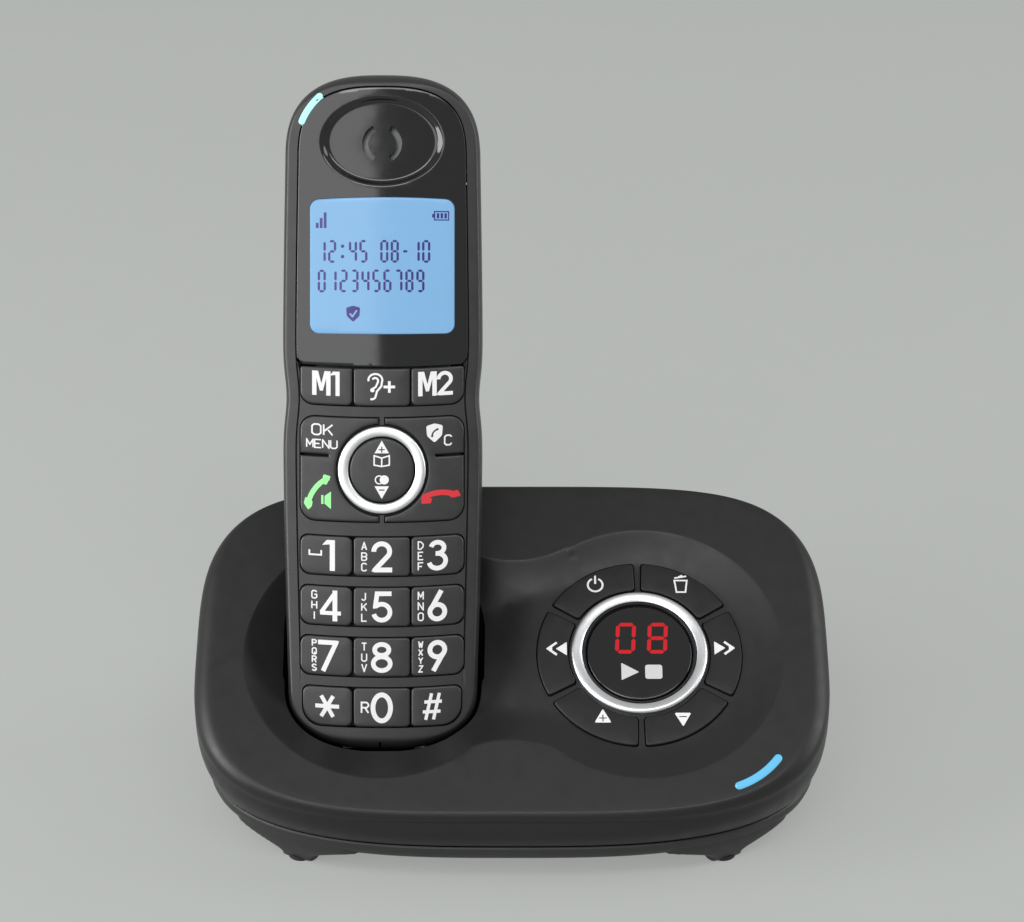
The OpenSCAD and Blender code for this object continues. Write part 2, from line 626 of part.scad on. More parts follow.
// One answering machine key's sector, shrunk by g; key 0 is the first anticlockwise from the right
module sector(i, g, h, lip = 0) rotate([0, 0, -30 + 60 * i + key_gap_deg / 2 + g * deg_per_mm])
    rotate_extrude(angle = 60 - key_gap_deg - 2 * g * deg_per_mm)
        translate([key_ring_in + g, 0]) square([key_ring_r - key_ring_in - 2 * g + lip, h]);
pilot_r = 1.5;
base_bosses = [[-half_width + 13, 6], [half_width - 13, 6], [0, -half_depth + 15], [0, half_depth - 17]];
pipe_arc_r = 22;
pipe_arc_x = half_width - 32.3;
pipe_arc_s = -half_depth + 28;
pipe_arc_from = -69.6;
pipe_arc_to = -36.7;
module base_pipe_3d(g, h) in_slope() translate([pipe_arc_x, pipe_arc_s, -4]) {
    rotate([0, 0, pipe_arc_from]) rotate_extrude(angle = pipe_arc_to - pipe_arc_from)
        translate([pipe_arc_r - 1 - g, 0]) square([2 + 2 * g, h]);
    for (a = [pipe_arc_from, pipe_arc_to]) rotate([0, 0, a]) translate([pipe_arc_r, 0, 0]) cylinder(r = 1 + g, h = h);
}
socket_z = joint_z + 4;
line_x = 14;
line_w = 13;
line_h = 11;
socket_l = 12;
power_x = 34;
power_r = 4.2;
// The rear face of both sockets, level with the wall
line_rear_y = joint_half_y - 0.6;
power_rear_y = joint_half_y - 2;

contact_w = 3;
contact_t = 1.2;
contact_z = -4.6;

module base_top_cover() color([0.12, 0.12, 0.12]) difference() {
    union() {
        difference() {
            top_cover_solid();
            top_cover_cavity();
        }
        intersection() {
            top_cover_solid();
            union() {
                hollows(base_wall);
                difference() {
                    well(well_gap + well_wall);
                    place() translate([-base_width, -base_depth, joint_z - 40]) cube([2 * base_width, 2 * base_depth, 40 - 1]);
                }
                for (b = base_bosses) place() translate([b[0], b[1], joint_z]) cylinder(r = 3.6, h = 60);
            }
        }
    }
    hollows(0);
    well(well_gap);
    in_slope() translate([keys_x, keys_s, -deck - deck_t - 6 - over]) {
        for (i = [0:5]) sector(i, 0, 20);
        cylinder(r = play_key_r + key_clearance, h = 20);
    }
    // Room under the deck for the keys' flanges, the mat and the board
    in_slope() translate([keys_x, keys_s, -deck - deck_t - 8]) cylinder(r = key_ring_r + 1.6, h = 8);
    for (b = base_bosses) place() translate([b[0], b[1], joint_z - over]) cylinder(r = pilot_r + 0.1, h = 9);
    base_pipe_3d(fixed_clearance, 8);
    in_handset() for (s = [-1, 1]) translate([s * pad_x, pad_y, 0])
        cube([contact_w + 0.6, contact_t + 0.6, 16], center = true);
    place() translate([line_x - 0.1, line_rear_y - socket_l - 0.2, socket_z - 0.1])
        cube([line_w + 0.2, socket_l + 8, line_h + 0.2]);
    place() translate([power_x, power_rear_y - socket_l - 0.2, socket_z + line_h / 2]) rotate([-90, 0, 0])
        cylinder(r = power_r + 0.1, h = socket_l + 10);
}
key_top = deck - 0.7;
base_key_h = 4.2;
// Lips under the deck keep the keys in
lip_w = 1;
lip_t = 0.7;
module base_key(i) color([0.11, 0.11, 0.11]) in_slope()
    translate([keys_x, keys_s, -key_top - base_key_h]) {
        sector(i, key_clearance, base_key_h);
        sector(i, key_clearance, lip_t, lip_w);
    }
module play_key() color([0.05, 0.05, 0.05]) in_slope()
    translate([keys_x, keys_s, -key_top - base_key_h]) {
        cylinder(r = play_key_r, h = base_key_h + 0.2);
        cylinder(r = play_key_r + lip_w, h = lip_t);
    }
module play_ring() color([0.8, 0.8, 0.82]) in_slope()
    translate([keys_x, keys_s, -deck]) ring_3d(bright_ring_r, play_key_r + key_clearance + 0.1, 1.6);
mat_top = key_top + base_key_h + key_travel + 0.1;
module base_key_mat() color([0.3, 0.3, 0.32]) in_slope()
    translate([keys_x, keys_s, -mat_top - 1.2]) ring_3d(key_ring_r + 1, 11, 1.2);
base_board_top = mat_top + 1.3;
module message_display() color([0.5, 0.05, 0.05]) in_slope()
    translate([keys_x - 8, keys_s - 5, -base_board_top]) cube([16, 11, 1.1]);
module base_circuit_board() color([0.05, 0.3, 0.15]) in_slope() {
    translate([keys_x, keys_s, -base_board_top - 1.65]) linear_extrude(height = 1.6)
        rounded_box_2d(2 * key_ring_r + 3, 2 * key_ring_r + 3, 4);
    translate([keys_x - 12, keys_s - 10, -base_board_top - 3.6]) cube([14, 14, 2]);
    translate([keys_x + 12, keys_s + 8, -base_board_top - 9.6]) cylinder(d = 8, h = 8);
}
module base_light_pipe() color([0.4, 0.78, 0.95]) base_pipe_3d(0, 4);
speaker_r = 17;
module base_loudspeaker() color([0.2, 0.2, 0.2]) place() translate([keys_x, -2, underside_z + base_wall + 0.05]) {
    ring_3d(speaker_r, speaker_r - 3.5, 2);
    translate([0, 0, 2]) cylinder(r1 = speaker_r, r2 = 8, h = 4);
    translate([0, 0, 6]) cylinder(r = 8, h = 3.2);
}

foot_tip_r = 4.4;
foot_root_r = 9.4;
foot_root_z = 8;
pad_r = 3.4;
pad_h = 1.1;
feet = [for (x = [-1, 1], y = [-1, 1]) [x * foot_x, y * foot_y]];
bottom_profile = [[0, 0], [0.5, 0.6], [2.2, 0.9], [7, 1]];
function bottom_ring(k) = joint_outline(k[0], joint_z - (joint_z - underside_z) * k[1]);
module base_bottom_cover() color([0.11, 0.11, 0.11]) place() difference() {
    union() {
        difference() {
            skin([for (k = bottom_profile) bottom_ring(k)]);
            skin([joint_outline(base_wall, joint_z + over), joint_outline(base_wall + 0.7, joint_z - 2),
                joint_outline(base_wall + 5, underside_z + base_wall)]);
        }
        // The feet flare up into the cover and stop short of its side
        intersection() {
            for (f = feet) translate([f[0], f[1], 0.25])
                cylinder(r1 = foot_tip_r, r2 = foot_root_r, h = foot_root_z);
            skin([joint_outline(0.3, joint_z), joint_outline(2, -over)]);
        }
        for (b = base_bosses) translate([b[0], b[1], underside_z]) cylinder(r = 4, h = joint_z - underside_z - 0.1);
        // A lip that the top cover drops over
        difference() {
            skin([joint_outline(base_wall + 0.3, joint_z + 1.6), joint_outline(base_wall + 0.3, joint_z - 2)]);
            skin([joint_outline(base_wall + 1.5, joint_z + 3), joint_outline(base_wall + 1.5, joint_z - 3)]);
        }
    }
    for (f = feet) translate([f[0], f[1], -over]) cylinder(r = pad_r + 0.05, h = over + pad_h);
    for (b = base_bosses) {
        translate([b[0], b[1], 0]) cylinder(r = pilot_r + 0.1, h = 30);
        translate([b[0], b[1], 0]) cylinder(r = 3, h = underside_z + 2.2);
    }
    // Sound slots under the loudspeaker
    for (i = [-4:4]) translate([keys_x + i * 3.2, -2, 0]) linear_extrude(height = 12)
        rounded_box_2d(1.4, 22 - abs(i) * 3, 0.6);
    // Room for the well's floor
    well_clearance();
}
module well_clearance() translate([0, plan_middle_y, 0]) well(well_gap + well_wall + 0.3);
module base_feet() color([0.05, 0.05, 0.05]) place()
    for (f = feet) translate([f[0], f[1], 0]) cylinder(r = pad_r, h = pad_h);
module base_screws() color([0.4, 0.4, 0.42]) place()
    for (b = base_bosses) translate([b[0], b[1], joint_z + 7]) rotate([180, 0, 0])
        screw(pilot_r, joint_z + 7 - underside_z - 2.1, 2.8, 1.6);
module cradle_contact(side) color([0.85, 0.8, 0.6]) in_handset()
    translate([side * pad_x - contact_w / 2, pad_y - contact_t / 2, contact_z])
        cube([contact_w, contact_t, pad_z - 0.03 - contact_z]);
module line_socket() color([0.15, 0.15, 0.15]) place() difference() {
    translate([line_x, line_rear_y - socket_l, socket_z]) cube([line_w, socket_l, line_h]);
    translate([line_x + 1.6, line_rear_y - socket_l + 1.5, socket_z + 1.8])
        cube([line_w - 3.2, socket_l, 6.8]);
    translate([line_x + line_w / 2 - 2, line_rear_y - socket_l + 1.5, socket_z + 8])
        cube([4, socket_l, 1.8]);
}
module power_socket() color([0.1, 0.1, 0.1]) place()
    translate([power_x, power_rear_y - socket_l, socket_z + line_h / 2]) rotate([-90, 0, 0]) {
        difference() {
            cylinder(r = power_r, h = socket_l);
            translate([0, 0, 2]) cylinder(r = 2.85, h = socket_l);
        }
        translate([0, 0, 1.5]) cylinder(r = 0.65, h = socket_l - 2.5);
    }

handset_front_cover();
handset_rear_cover();
front_fascia();
display_lens();
handset_light_pipe();
navigation_ring();
navigation_key();
digit_key(0, 0);  // key_1
digit_key(1, 0);  // key_2
digit_key(2, 0);  // key_3
digit_key(0, 1);  // key_4
digit_key(1, 1);  // key_5
digit_key(2, 1);  // key_6
digit_key(0, 2);  // key_7
digit_key(1, 2);  // key_8
digit_key(2, 2);  // key_9
digit_key(0, 3);  // key_star
digit_key(1, 3);  // key_0
digit_key(2, 3);  // key_hash
memory_key(0);  // key_memory_1
memory_key(1);  // key_louder
memory_key(2);  // key_memory_2
function_key(-1);  // key_ok_and_talk
function_key(1);  // key_clear_and_end
keypad_mat();
display_module();
display_backlight();
earpiece_speaker();
earpiece_gasket();
handset_circuit_board();
microphone();
ringer_speaker();
battery_cells();
battery_contacts();
battery_door();
handset_charge_pads();
handset_screws();
base_top_cover();
base_bottom_cover();
play_key();
play_ring();
base_key(0);  // base_key_forward
base_key(1);  // base_key_delete
base_key(2);  // base_key_power
base_key(3);  // base_key_back
base_key(4);  // base_key_louder
base_key(5);  // base_key_quieter
base_key_mat();
message_display();
base_light_pipe();
base_circuit_board();
base_loudspeaker();
cradle_contact(-1);  // cradle_contact_left
cradle_contact(1);  // cradle_contact_right
line_socket();
power_socket();
base_feet();
base_screws();
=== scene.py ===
import math
import bpy
import bmesh
from mathutils import Matrix, Vector
from mathutils.geometry import delaunay_2d_cdt
from mathutils.kdtree import KDTree


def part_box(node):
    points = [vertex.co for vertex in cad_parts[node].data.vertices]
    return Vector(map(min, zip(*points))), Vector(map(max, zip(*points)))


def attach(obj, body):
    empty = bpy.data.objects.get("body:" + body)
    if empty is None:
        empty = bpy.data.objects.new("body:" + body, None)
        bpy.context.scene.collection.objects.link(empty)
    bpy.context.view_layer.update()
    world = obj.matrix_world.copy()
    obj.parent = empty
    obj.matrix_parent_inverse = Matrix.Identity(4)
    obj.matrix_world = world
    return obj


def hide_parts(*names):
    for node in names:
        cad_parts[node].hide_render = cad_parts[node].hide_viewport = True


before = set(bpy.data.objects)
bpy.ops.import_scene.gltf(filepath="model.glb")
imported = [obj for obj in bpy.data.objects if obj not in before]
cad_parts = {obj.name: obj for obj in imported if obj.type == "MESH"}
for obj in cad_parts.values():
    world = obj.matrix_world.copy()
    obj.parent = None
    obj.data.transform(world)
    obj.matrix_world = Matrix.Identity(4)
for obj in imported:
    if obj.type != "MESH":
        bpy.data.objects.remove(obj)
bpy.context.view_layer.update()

# ---- Studio ---------------------------------------------------------------------------
# A pale floor that reads as an endless sweep, a big soft panel above and behind the left
# shoulder, and two softboxes that draw the sheen along the object's edges.
feet_low, feet_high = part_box("base_feet")
plan_y = (feet_low.y + feet_high.y) / 2
view_tilt = math.radians(30)


def linear(code):
    """A web colour such as #333333 as the linear colour that a shader takes."""
    parts = [int(code[i:i + 2], 16) / 255 for i in (1, 3, 5)]
    return [p / 12.92 if p <= 0.04045 else ((p + 0.055) / 1.055) ** 2.4 for p in parts] + [1.0]


def new_material(name, roughness, metallic=0.0, coat=0.0, specular=0.5):
    """A material whose single-valued settings sit on the shader's own sockets."""
    made = bpy.data.materials.new(name)
    made.use_nodes = True
    shader = made.node_tree.nodes["Principled BSDF"]
    shader.inputs["Roughness"].default_value = roughness
    shader.inputs["Metallic"].default_value = metallic
    shader.inputs["Coat Weight"].default_value = coat
    shader.inputs["Coat Roughness"].default_value = 0.08
    shader.inputs["Specular IOR Level"].default_value = specular
    return made, shader


def noise(tree, scale, detail=3.0):
    """A noise on the piece's own coordinates; scale is in waves to the metre."""
    place = tree.nodes.new("ShaderNodeTexCoord")
    made = tree.nodes.new("ShaderNodeTexNoise")
    made.inputs["Scale"].default_value = scale
    made.inputs["Detail"].default_value = detail
    tree.links.new(place.outputs["Object"], made.inputs["Vector"])
    return made.outputs["Fac"]


def ranged(tree, value, low, high):
    """Spreads a noise between two values."""
    made = tree.nodes.new("ShaderNodeMapRange")
    made.inputs["From Min"].default_value = 0.3
    made.inputs["From Max"].default_value = 0.7
    made.inputs["To Min"].default_value = low
    made.inputs["To Max"].default_value = high
    tree.links.new(value, made.inputs["Value"])
    return made.outputs["Result"]


def moulded(name, colour, roughness, grain=0.35, grain_depth=0.02, metallic=0.0, coat=0.0,
            shift=0.08, spread=0.06, specular=0.5):
    """A moulded or finished surface: grain and depth are in millimetres, shift is how far the
    colour wanders, and spread is how far the roughness does."""
    made, shader = new_material(name, roughness, metallic, coat, specular)
    tree = made.node_tree
    base = linear(colour)
    cloud = noise(tree, 60)
    mix = tree.nodes.new("ShaderNodeMix")
    mix.data_type = "RGBA"
    mix.inputs["A"].default_value = [c * (1 - shift) for c in base[:3]] + [1]
    mix.inputs["B"].default_value = [min(1, c * (1 + shift)) for c in base[:3]] + [1]
    tree.links.new(ranged(tree, cloud, 0, 1), mix.inputs["Factor"])
    tree.links.new(mix.outputs["Result"], shader.inputs["Base Color"])
    worn = ranged(tree, noise(tree, 260), max(0.02, roughness - spread), roughness + spread)
    tree.links.new(worn, shader.inputs["Roughness"])
    bump = tree.nodes.new("ShaderNodeBump")
    bump.inputs["Strength"].default_value = 1.0
    bump.inputs["Distance"].default_value = grain_depth * 0.001
    tree.links.new(noise(tree, 1000 / grain, 2), bump.inputs["Height"])
    tree.links.new(bump.outputs["Normal"], shader.inputs["Normal"])
    return made


def glowing(name, colour, unlit, strength, roughness=0.25, shift=0.05, specular=0.3):
    """A lit clear moulding or picture: its glow's colour, and its dark colour when unlit."""
    made = moulded(name, unlit, roughness, 0.4, 0.004, shift=shift, specular=specular)
    shader = made.node_tree.nodes["Principled BSDF"]
    shader.inputs["Emission Color"].default_value = linear(colour)
    shader.inputs["Emission Strength"].default_value = strength
    return made


camera_data = bpy.data.cameras.new("camera")
camera_data.lens = 92.5
camera = bpy.data.objects.new("camera", camera_data)
camera.location = (0, plan_y - 0.5543, 0.417)
camera.rotation_euler = (math.radians(90) - view_tilt, 0, 0)
bpy.context.scene.collection.objects.link(camera)
bpy.context.scene.camera = camera

floor_half = 9
floor_mesh = bpy.data.meshes.new("floor")
floor_mesh.from_pydata([(-floor_half, -floor_half, 0), (floor_half, -floor_half, 0),
                        (floor_half, floor_half, 0), (-floor_half, floor_half, 0)], [], [(0, 1, 2, 3)])
floor = bpy.data.objects.new("floor", floor_mesh)
bpy.context.scene.collection.objects.link(floor)
floor_finish = moulded("pale_floor", "#6C6E6C", 0.9, 4, 0.02, shift=0.01, specular=0.1)
floor_shader = floor_finish.node_tree.nodes["Principled BSDF"]
floor_shader.inputs["Emission Color"].default_value = linear("#B8BBB8")
floor_shader.inputs["Emission Strength"].default_value = 0.62
floor_mesh.materials.append(floor_finish)


def softbox(name, place, target, width, height, power):
    """A rectangular area light at place, turned to face target."""
    data = bpy.data.lights.new(name, "AREA")
    data.shape = "RECTANGLE"
    data.size = width
    data.size_y = height
    data.energy = power
    made = bpy.data.objects.new(name, data)
    made.location = place
    made.rotation_euler = (Vector(target) - Vector(place)).to_track_quat("-Z", "Y").to_euler()
    bpy.context.scene.collection.objects.link(made)


middle = (0, plan_y, 0.08)
softbox("panel_left", (-0.62, plan_y - 1.05, 0.95), (-0.62, plan_y, 0.08), 1.0, 1.0, 7)
softbox("front_high", (0.1, plan_y - 0.62, 1.35), middle, 1.1, 0.35, 6)
softbox("side_left", (-0.95, plan_y - 0.25, 0.35), middle, 0.6, 0.8, 11)
softbox("side_right", (0.95, plan_y + 0.1, 0.45), middle, 0.5, 0.9, 4.5)
world = bpy.data.worlds.new("room")
world.use_nodes = True
world.node_tree.nodes["Background"].inputs["Color"].default_value = (0.95, 0.96, 0.95, 1)
world.node_tree.nodes["Background"].inputs["Strength"].default_value = 0.48
bpy.context.scene.world = world
bpy.context.scene.view_settings.view_transform = "Standard"

# ---- Base top cover -------------------------------------------------------------------
# The base's upper shell, moulded in black ABS with a fine satin grain. Its sloped face is
# sunk in two round hollows that run together: a deep one round the handset's well, and a
# shallow one round the answering machine's keys. Four screws from below pull it down.
slope = math.radians(28)
lean = math.radians(30)
slope_height = 45
half_width = 80.3
half_depth = 48
handset_x = -32.6
keys_x = 32.3
keys_s = -2.7
base_matrix = Matrix.Translation((0, plan_y, 0)) @ Matrix.Scale(0.001, 4)
slope_to_base = Matrix.Translation((0, 0, slope_height)) @ Matrix.Rotation(slope, 4, "X")
handset_to_base = (Matrix.Translation((handset_x, -20, slope_height - 20.4))
                   @ Matrix.Rotation(-lean, 4, "X"))
in_handset = base_matrix @ handset_to_base


def on_slope(u, s, height=0.0):
    """A point of the sloped face, or at a height over it."""
    return slope_to_base @ Vector((u, s, height))


def sheet(outline, holes, creases, step, lift, start=0):
    """Triangles that fill a flat outline less its holes, with vertices along the creases and on
    a grid, each raised by lift(u, v). Returns points, faces, the outline's and holes' rims."""
    flat = [Vector(p) for p in outline]
    loops = [list(range(len(flat)))]
    for hole in holes:
        loops.append(list(range(len(flat), len(flat) + len(hole))))
        flat += [Vector(p) for p in hole]
    edges = []
    for line in creases:
        first = len(flat)
        flat += [Vector(p) for p in line]
        edges += [(i, i + 1) for i in range(first, len(flat) - 1)]
    if step:
        fixed = KDTree(len(flat))
        for i, p in enumerate(flat):
            fixed.insert((p[0], p[1], 0), i)
        fixed.balance()
        low_u = min(p[0] for p in outline)
        low_v = min(p[1] for p in outline)
        across = int((max(p[0] for p in outline) - low_u) / step)
        along = int((max(p[1] for p in outline) - low_v) / step)
        for i in range(across):
            for j in range(along):
                shift = 0.25 if j % 2 else -0.25
                spot = (low_u + (i + 0.5 + shift) * step, low_v + (j + 0.5) * step)
                if fixed.find((spot[0], spot[1], 0))[2] > 0.5 * step:
                    flat.append(Vector(spot))
    found, _, triangles, sources, _, owners = delaunay_2d_cdt(flat, edges, loops, 0, 1e-5, True)
    places = {}
    for new, old in enumerate(sources):
        for index in old:
            places[index] = new
    cut = set(range(1, len(loops)))
    faces = [t for t, o in zip(triangles, owners) if 0 in o and not cut.intersection(o)]
    used = sorted({i for f in faces for i in f})
    order = {old: start + new for new, old in enumerate(used)}
    points = [lift(found[i][0], found[i][1]) for i in used]
    faces = [tuple(order[i] for i in f) for f in faces]
    rims = [[order[places[i]] for i in loop if places[i] in order] for loop in loops]
    return points, faces, rims


def carry_on(points, faces, rim, rings, inward=False):
    """Joins a rim to further rings of points by four-sided faces, and returns the last rim."""
    for ring in rings:
        start = len(points)
        points += ring
        fresh = list(range(start, start + len(ring)))
        for j in range(len(ring)):
            k = (j + 1) % len(ring)
            face = (rim[j], fresh[j], fresh[k], rim[k])
            faces.append(face[::-1] if inward else face)
        rim = fresh
    return rim


def at_depth(y):
    """Places a flat outline upright, facing the front, at depth y."""
    return lambda u, v: Vector((u, y, v))


def at_height(z):
    """Places a flat outline level, at height z."""
    return lambda u, v: Vector((u, v, z))


def prism(outline, low, high):
    """A closed block whose two ends are an outline placed by low(u, v) and by high(u, v)."""
    count = len(outline)
    points = [low(u, v) for u, v in outline] + [high(u, v) for u, v in outline]
    faces = [tuple(range(count - 1, -1, -1)), tuple(range(count, 2 * count))]
    faces += [(i, (i + 1) % count, (i + 1) % count + count, i + count) for i in range(count)]
    return points, faces


sharp_angle = math.radians(32)


def make(name, points, faces, place, material, body, nodes=(), wall=0.0, cuts=()):
    """Makes the finished piece from points in millimetres; wall thickens an open skin inwards,
    and each prism in cuts is taken out of it."""
    mesh = bpy.data.meshes.new(name)
    mesh.from_pydata([place @ Vector(p) for p in points], [], faces)
    work = bmesh.new()
    work.from_mesh(mesh)
    bmesh.ops.remove_doubles(work, verts=work.verts, dist=1e-7)
    work.to_mesh(mesh)
    work.free()
    made = bpy.data.objects.new(name, mesh)
    bpy.context.scene.collection.objects.link(made)
    if wall:
        thick = made.modifiers.new("wall", "SOLIDIFY")
        thick.thickness = wall * 0.001
        thick.offset = -1
        settle(made)
    for cut_points, cut_faces in cuts:
        tool_mesh = bpy.data.meshes.new("tool")
        tool_mesh.from_pydata([place @ Vector(p) for p in cut_points], [], cut_faces)
        flip = bmesh.new()
        flip.from_mesh(tool_mesh)
        bmesh.ops.recalc_face_normals(flip, faces=flip.faces)
        flip.to_mesh(tool_mesh)
        flip.free()
        tool = bpy.data.objects.new("tool", tool_mesh)
        bpy.context.scene.collection.objects.link(tool)
        taken = made.modifiers.new("taken", "BOOLEAN")
        taken.operation = "DIFFERENCE"
        taken.solver = "EXACT"
        taken.object = tool
        settle(made)
        bpy.data.objects.remove(tool)
    made.data.shade_smooth()
    made.data.set_sharp_from_angle(angle=sharp_angle)
    made.data.materials.append(material)
    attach(made, body)
    if nodes:
        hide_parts(*nodes)
    return made


def settle(made):
    """Turns what the modifiers make into the object's plain mesh, and removes them."""
    graph = bpy.context.evaluated_depsgraph_get()
    finished = bpy.data.meshes.new_from_object(made.evaluated_get(graph))
    made.modifiers.clear()
    made.data = finished


def arc(u, v, radius_u, radius_v, start, end, step=6):
    """Points along an arc, its ends included, in degrees."""
    count = max(2, int(abs(end - start) / step) + 1)
    turns = [math.radians(start + (end - start) * i / count) for i in range(count + 1)]
    return [(u + radius_u * math.cos(t), v + radius_v * math.sin(t)) for t in turns]


def round_loop(u, v, radius, step=6):
    """A closed circle of points."""
    return arc(u, v, radius, radius, 0, 360, step)[:-1]


def blend(low, high, value):
    """0 below low, 1 above high and smooth between them."""
    t = max(0.0, min(1.0, (value - low) / (high - low)))
    return t * t * (3 - 2 * t)


ring_count = 320
ring_turns = [90 * (q + math.sin(math.pi * i / (ring_count / 2)) ** 2)
              for q in range(4) for i in range(ring_count // 4)]


def signed_power(value, power):
    """A power that keeps the value's sign."""
    return math.copysign(abs(value) ** power, value)


def superellipse(half_u, half_v, power_u, power_v, squarer=0.0):
    """A rounded box's outline, its corners squarer the higher the powers are; squarer adds to
    both powers at the back."""
    line = []
    for turn in ring_turns:
        more = squarer if turn < 180 else 0
        line.append((half_u * signed_power(math.cos(math.radians(turn)), 2 / (power_u + more)),
                     half_v * signed_power(math.sin(math.radians(turn)), 2 / (power_v + more))))
    return line


face_middle_s = -1.5
joint_z = 11.5
face_shape = superellipse(half_width - 6, half_depth - 2, 4, 3.6, 1.1)
face_outline = [(u, s + face_middle_s) for u, s in face_shape]
face_ring = [on_slope(u, s) for u, s in face_outline]
widest_ring = []
for u, s in superellipse(half_width, half_depth - 0.2, 3.6, 3, 0.9):
    drop = 3 * abs(u / half_width) ** 3
    height = slope_height - 3 + s * math.sin(slope) - drop
    widest_ring.append(Vector((u, -0.4 + s * math.cos(slope), height)))
joint_half = (half_width - 2.3, half_depth - 6)
joint_powers = (3, 2.4)


def joint_ring(inset, z):
    """A level ring of the base's outline where its two covers meet, moved in by inset."""
    line = superellipse(joint_half[0] - inset, joint_half[1] - inset, *joint_powers)
    return [Vector((u, v, z)) for u, v in line]


slope_normal = Vector((0, -math.sin(slope), math.cos(slope)))


def edge_ring(turn):
    """The ring at an angle round the edge between the sloped face and the widest ring."""
    ring = []
    for inner, outer in zip(face_ring, widest_ring):
        step = outer - inner
        down = step.dot(slope_normal)
        ring.append(inner + (step - down * slope_normal) * math.sin(turn)
                    + down * (1 - math.cos(turn)) * slope_normal)
    return ring


def wall_ring(fraction):
    """A ring part way down the side wall, which bulges a little."""
    ring = []
    for upper, lower in zip(widest_ring, joint_ring(0, joint_z)):
        p = upper.lerp(lower, fraction)
        out = Vector((p.x, p.y, 0)).normalized()
        ring.append(p + out * math.sin(math.pi * fraction))
    return ring


# The hollows' outline is two circles joined by fillets at the waist
hollow_s = -3.4
hollow_r = 35.3
hollows_u = (handset_x, keys_x + 1)
fillet_r = 26.4
fillet_s = (keys_s - 52, keys_s + 52)
fillet_rise = 52.7
fillet_slant = hollows_u[1] / fillet_rise


def into_hollow(u, s):
    """How far a point of the face lies inside the hollows' outline."""
    inside = max(hollow_r - math.hypot(u - middle_u, s - hollow_s) for middle_u in hollows_u)
    reach = [abs(s - f) for f in fillet_s]
    if fillet_s[0] < s < fillet_s[1] and all(abs(u) < fillet_slant * r for r in reach):
        inside = max(inside, min(math.hypot(u, r) for r in reach) - fillet_r)
    return inside


def hollow_depth(u, s):
    """How deep the hollows are sunk at a point of the face."""
    inside = into_hollow(u, s)
    if inside <= 0:
        return 0.0
    deep = 7 - 4 * blend(-9, 7, u)
    reach = deep + 6
    soft = inside ** 2 / (inside + 0.35)
    return deep * (1 - (1 - min(1, soft / reach)) ** 1.4)


def hollow_line(inset):
    """A line along the hollows' side, moved in by inset."""
    swing = math.degrees(math.atan2(fillet_rise, hollows_u[1]))
    big = hollow_r - inset
    small = fillet_r + inset
    line = []
    for u, s, radius, start, end in (
            (hollows_u[1], hollow_s, big, -180 + swing, 180 - swing),
            (0, fillet_s[1], small, -swing, -180 + swing),
            (hollows_u[0], hollow_s, big, swing, 360 - swing),
            (0, fillet_s[0], small, 180 - swing, swing)):
        line += arc(u, s, radius, radius, start, end, 1.6)[:-1]
    return line + line[:1]


hollow_insets = (-1.5, -0.5, -0.25, 0, 0.25, 0.6, 1.3, 2.2, 3.2, 4.4, 5.8, 7.4, 9.2, 11.5)
creases = [hollow_line(inset) for inset in hollow_insets]

# The well's mouth, where the handset's section meets the hollow's floor. meet_cos and
# meet_sin belong to the angle between the handset's length and the sloped face's normal.
well_gap = 0.35
meet_cos = 0.53
meet_sin = 0.848
end_height = 17
end_power = 2.5


def well_half(z):
    """Half the well's width at height z above the handset's bottom end."""
    climb = max(0, 1 - (z + well_gap) / end_height)
    return 24.6 * (1 - climb ** end_power) ** (1 / end_power) + well_gap


def well_section(z_floor):
    """The well's mouth from front to back as x, y and z in the handset's own frame."""
    line = []
    for i in range(1, 29):
        z = -0.3 + 16.6 * (i / 28) ** 2
        line.append((well_half(z), (meet_cos * z - z_floor) / meet_sin, z))
    for i in range(1, 10):
        y = line[27][1] + (16 - line[27][1]) * i / 9
        line.append((25.5 + 0.2 * i / 9, y, (meet_sin * y + z_floor) / meet_cos))
    for i in range(1, 19):
        a = math.radians(5 * i)
        y = 16 + 9.9 * math.sin(a)
        line.append((25.7 - 14 * (1 - math.cos(a)), y, (meet_sin * y + z_floor) / meet_cos))
    return line


well_line = well_section(1.6)
well_right = [Vector(p) for p in well_line]
well_rim = well_right + [Vector((-p.x, p.y, p.z)) for p in reversed(well_right)]
base_to_slope = slope_to_base.inverted()
well_mouth = []
for p in well_rim:
    flat = base_to_slope @ (handset_to_base @ p)
    well_mouth.append((flat.x, flat.y))

# Six keys' windows round the display, the middle key's hole and the light's slot
key_gap = 3.4
ring_outer = 17.3
key_inner = ring_outer + 0.5
key_outer = 26.2
key_middle_r = 22


